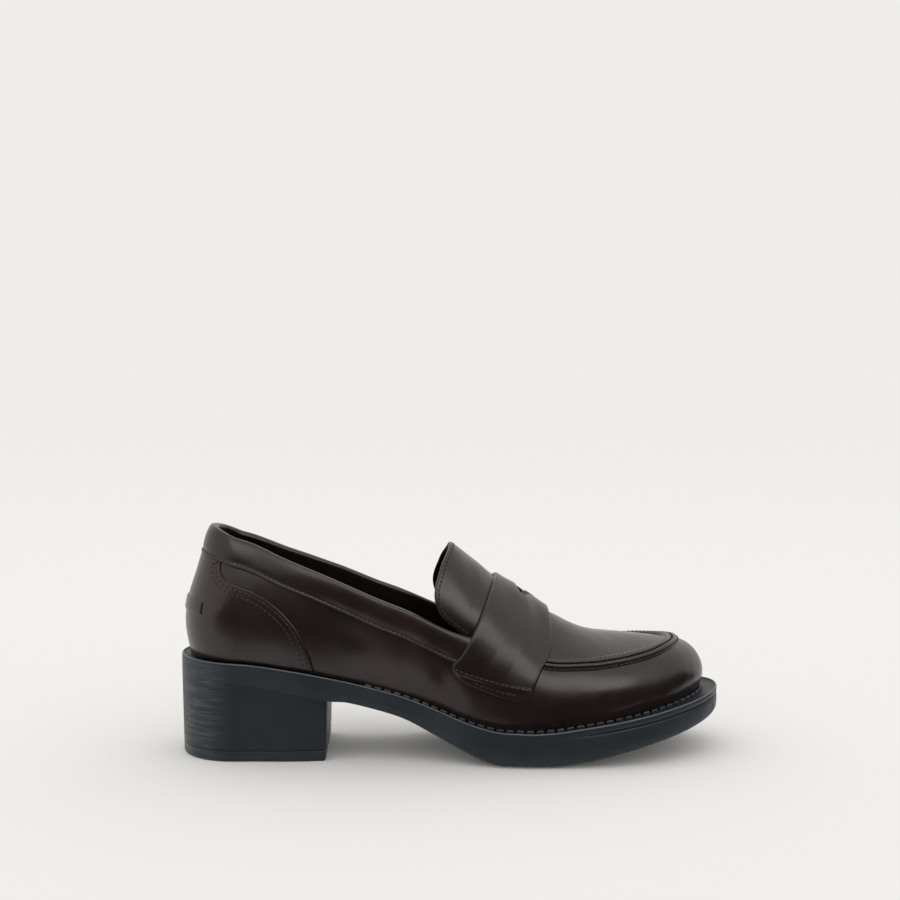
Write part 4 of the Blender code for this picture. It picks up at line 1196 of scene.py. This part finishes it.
def beads(name, places, material, slot, length, width, height, tree=ROUND_BEADS):
    """One piece of beads from places, a list of (points, directions, normals)."""
    points, along, up = (np.concatenate([place[i] for place in places]) for i in range(3))
    mesh = bpy.data.meshes.new(name)
    mesh.from_pydata(points.tolist(), [], [])
    for label, values in (("along", along), ("up", up)):
        mesh.attributes.new(label, "FLOAT_VECTOR", "POINT").data.foreach_set("vector", values.ravel())
    holder = bpy.data.objects.new(name, mesh)
    bpy.context.scene.collection.objects.link(holder)
    run = holder.modifiers.new("beads", "NODES")
    run.node_group = tree
    sizes = {"Length": length * MM, "Width": width * MM, "Height": height * MM, "Material": material}
    for item in tree.interface.items_tree:
        if item.in_out == "INPUT" and item.name in sizes:
            run[item.identifier] = sizes[item.name]
    seen = holder.evaluated_get(bpy.context.evaluated_depsgraph_get())
    result = bpy.data.meshes.new_from_object(seen)
    holder.modifiers.clear()
    holder.data = result
    if not result.materials:
        result.materials.append(material)
    return settle(holder, slot)


def tree_of(piece):
    """A search tree of a piece's faces."""
    mesh = piece.data
    corners = [tuple(v.co) for v in mesh.vertices]
    return BVHTree.FromPolygons(corners, [tuple(p.vertices) for p in mesh.polygons])


def stitched(piece, line, out, toward, inset, pitch, lift=0.0, start=0.0, stop=1.0, shift=0.5):
    """Places at a steady pitch, this far in from a line along the edge of a piece, on the piece's outer face.

    line, out and toward are rows of points on the edge, of outward directions, and of points further in.
    """
    search = tree_of(piece)
    along = np.gradient(line, axis=0)
    along = along / np.maximum(np.linalg.norm(along, axis=-1, keepdims=True), 1e-9)
    inside = toward - line
    inside = inside - along * (inside * along).sum(-1)[:, None]
    inside = inside / np.maximum(np.linalg.norm(inside, axis=-1, keepdims=True), 1e-9)
    path = line + inside * inset * MM
    travel = np.concatenate(([0], np.cumsum(np.linalg.norm(np.diff(path, axis=0), axis=-1))))
    total = travel[-1]
    count = max(1, int(total * (stop - start) / (pitch * MM)))
    at = total * start + (np.arange(count) + shift) * total * (stop - start) / count

    def along_path(values, places):
        return np.stack([np.interp(places, travel, values[:, i]) for i in range(3)], axis=-1)

    ways = along_path(path, at + 0.4 * MM) - along_path(path, at - 0.4 * MM)
    outs = along_path(out / np.linalg.norm(out, axis=-1, keepdims=True), at)
    places, ups = [], []
    for point, away in zip(along_path(path, at), outs):
        away = Vector(away)
        spot, normal, _, _ = search.ray_cast(Vector(point) + away * 4 * MM, -away, 8 * MM)
        if spot is None:
            spot, normal = Vector(point), away
        places.append(spot + normal * lift * MM)
        ups.append(normal)
    return np.array(places), ways / np.linalg.norm(ways, axis=-1, keepdims=True), np.array(ups)


def sewn(name, rows, length, width, height):
    """A seam's stitches and, between them, dark beads painting the shade of its needle holes. rows are
    stitched()'s arguments.
    """
    stitches = [stitched(**row) for row in rows]
    beads(name + "_stitches", stitches, THREAD, "polished_calf", length, width, height)
    hole_shade_places = [stitched(**row, shift=0.0) for row in rows]
    beads(name + "_painted_hole_shade", hole_shade_places, HOLE_SHADE, "polished_calf", 1.05, width + 0.4, 0.38)


# Where the welt's moulded stitches start, in millimetres from the heel's back
WELT_SEWN_FROM = 86


def stitch_all(strap, tongue, counter, band, strip, seam, welt):
    """Every row of stitches, each set by the edge that it follows. Insets and pitches are in millimetres."""
    piece, grid, out = counter
    sewn("counter", [dict(piece=piece, line=grid[2:, edge], out=out[2:, inner], toward=grid[2:, inner],
                          inset=inset, pitch=2.4)
                     for edge, inner in ((0, 12), (-1, -13)) for inset in (1.9, 4.3)], 1.7, 0.5, 0.4)

    piece, grid, out = tongue
    sewn("tongue", [dict(piece=piece, line=grid[7:-7, 0], out=out[7:-7, 12], toward=grid[7:-7, 12],
                         inset=1.9, pitch=2.1)], 1.4, 0.5, 0.4)

    piece, grid, out = strap
    sewn("strap", [dict(piece=piece, line=grid[row, 1:-1], out=out[inner, 1:-1], toward=grid[inner, 1:-1],
                        inset=inset, pitch=2.4, start=0.05, stop=0.95)
                   for row, inner, inset in ((0, 30, 2.0), (15, 30, 0.2), (-1, -31, 2.0), (-16, -31, 0.2))],
         1.7, 0.6, 0.5)

    piece, rows, out = band
    fold = dict(piece=piece, line=rows[2], out=out, toward=rows[8], inset=1.3, pitch=2.3)
    sewn("collar", [fold], 1.6, 0.45, 0.35)

    piece, rows, out = seam
    below = dict(piece=piece, line=rows[3], out=out, toward=rows[8], inset=0.0, pitch=2.6, lift=0.12)
    # The stitches in the lower groove are painted the near-black hole shade, for the dark of their groove and
    # holes
    beads("apron_stitches", [stitched(**below)], HOLE_SHADE, "polished_calf", 1.5, 1.2, 0.8)
    above = dict(piece=piece, line=rows[-3], out=out, toward=rows[-6], inset=0.0, pitch=2.3)
    beads("apron_edge_stitches", [stitched(**above)], THREAD, "polished_calf", 1.7, 0.5, 0.4)

    piece, grid, out = strip
    ends = [stitched(piece, grid[2:-2, edge], out[2:-2, inner], grid[2:-2, inner], inset=1.2, pitch=1.9)
            for edge, inner in ((0, 6), (-1, -7))]
    beads("back_strip_stitches", ends, THREAD, "polished_calf", 1.3, 0.45, 0.35)

    side, station = ring_of(np.linspace(0, 1, 321))
    along = (1 - np.cos(math.pi * station)) / 2
    foot = SECTION["foot"](along) * BALL_WIDTH / 2
    ring = np.roll(deck_ring(side, station, foot - 0.9 * MM, 0.2 * MM), -1, axis=0)
    shown = ring[ring[:, 0] > WELT_SEWN_FROM * MM - HEEL_CENTRE]
    up = np.tile((0.0, 0.0, 1.0), (len(shown), 1))
    rows = [stitched(welt, shown, up, shown + up, 0.0, 4.6, lift=0.5)]
    # The welt's stitches carry the painted highlight's lighter colour
    beads("welt_stitches", rows, WELT_STITCH_AND_HIGHLIGHT, "moulded_rubber", 3.7, 1.5, 1.8, BLOCK_BEADS)


# The studio


ROOM_LIGHT = 0.86
PANEL_GLOW = 1.8
# The floor's own faint glow, which lifts its shadows to the photo's grey
FLOOR_GLOW = 0.03 * ROOM_LIGHT
FLOOR_REACH = 30
# The dark screen's posts from the heel's side round to the toe's: x, y of its foot, y of its top and its
# height
SCREEN = (
    (-0.36, -0.28, -0.43, 0.16), (-0.17, -0.26, -0.41, 0.23), (-0.05, -0.21, -0.40, 0.31),
    (0.04, -0.11, -0.35, 0.27), (0.08, -0.062, -0.30, 0.21), (0.12, -0.058, -0.26, 0.18),
    (0.20, -0.062, -0.24, 0.165), (0.26, -0.04, -0.20, 0.12), (0.34, -0.02, -0.16, 0.105),
    (0.40, 0.12, 0.0, 0.10),
)
# The lit panel's corners, over the screen and on the camera's side
PANEL = ((-0.22, -0.85, 0.62), (1.2, -0.85, 0.58), (1.2, -0.65, 1.15), (-0.22, -0.65, 1.15))
Lamp = namedtuple("Lamp", "name place aim size power tint")
LAMPS = (
    Lamp("overhead", (0.10, 0.35, 1.3), (0.07, 0.0, 0.05), (1.4, 0.9), 0.8, "#fffaf4"),
)
# The camera's place and its own right, up and back directions, fitted to the shoe's outline in the photo
LENS, SENSOR = 58.84, 36
EYE = (0.10485 - HEEL_CENTRE, -0.700, 0.1827)
EYE_AXES = ((0.99947, -0.03263, 0.0), (0.00188, 0.05753, 0.99834), (-0.0326, -0.9978, 0.0576))


def card_material(name, colour, roughness=0.5, shine=0.5, glow=None, strength=0.0):
    """An even material, and its glow if it has one."""
    material, _, shader, _ = start_material(name)
    shader.inputs["Base Color"].default_value = linear(colour)
    shader.inputs["Roughness"].default_value = roughness
    shader.inputs["Specular IOR Level"].default_value = shine
    if glow:
        shader.inputs["Emission Color"].default_value = linear(glow)
        shader.inputs["Emission Strength"].default_value = strength
    return material


def lay_floor():
    """A pale paper floor, far wider than the view."""
    paper = card_material("pale_paper_floor", "#fcfcfc", 0.9, 0.0, "#fffdf9", FLOOR_GLOW)
    corners = [(x * FLOOR_REACH, y * FLOOR_REACH, 0) for x, y in ((-1, -1), (1, -1), (1, 1), (-1, 1))]
    new_piece("paper_floor", corners, [(0, 1, 2, 3)], (paper,))


def hang_cards():
    """The dark screen and the lit panel, which only reflections see."""
    cloth = card_material("black_cloth_screen", "#0a0a0a", 1.0, 0.0)
    corners = [corner for x, foot, top, rise in SCREEN for corner in ((x, foot, 0.0), (x, top, rise))]
    faces = [(i, i + 1, i + 3, i + 2) for i in range(0, len(corners) - 2, 2)]
    screen = new_piece("dark_screen", corners, faces, (cloth,))
    silk = card_material("lit_white_silk", "#ffffff", glow="#fffaf4", strength=PANEL_GLOW)
    panel = new_piece("lit_panel", PANEL, [(0, 3, 2, 1)], (silk,))
    for card in (screen, panel):
        card.visible_camera = card.visible_diffuse = card.visible_shadow = False


def hang_lamps():
    """The lamp over the shoe, and the even white room round it."""
    for spec in LAMPS:
        light = bpy.data.lights.new(spec.name, "AREA")
        light.shape = "RECTANGLE"
        light.size, light.size_y = spec.size
        light.energy = spec.power
        light.color = linear(spec.tint)[:3]
        lamp = bpy.data.objects.new(spec.name, light)
        lamp.location = spec.place
        aim = Vector(spec.aim) - Vector(spec.place)
        lamp.rotation_euler = aim.to_track_quat("-Z", "Y").to_euler()
        bpy.context.scene.collection.objects.link(lamp)
    world = bpy.data.worlds.new("studio")
    bpy.context.scene.world = world
    world.use_nodes = True
    room = world.node_tree.nodes["Background"].inputs
    room["Color"].default_value = linear("#fffdf9")
    room["Strength"].default_value = ROOM_LIGHT
    bpy.context.scene.view_settings.view_transform = "Standard"


def place_camera():
    """The photo's camera, level with the shoe and close to its side."""
    camera = bpy.data.cameras.new("camera")
    camera.lens = LENS
    camera.sensor_width = SENSOR
    eye = bpy.data.objects.new("camera", camera)
    eye.matrix_world = Matrix.Translation(EYE) @ Matrix(EYE_AXES).transposed().to_4x4()
    bpy.context.scene.collection.objects.link(eye)
    bpy.context.scene.camera = eye


make_upper()
strap = make_strap()
tongue = make_tongue()
counter = make_counter()
band = make_band()
strip = make_strip()
seam = make_seam()
make_sock()
welt = make_welt()
make_outsole()
make_heel()
make_lift()
stitch_all(strap, tongue, counter, band, strip, seam, welt)
lay_floor()
hang_cards()
hang_lamps()
place_camera()
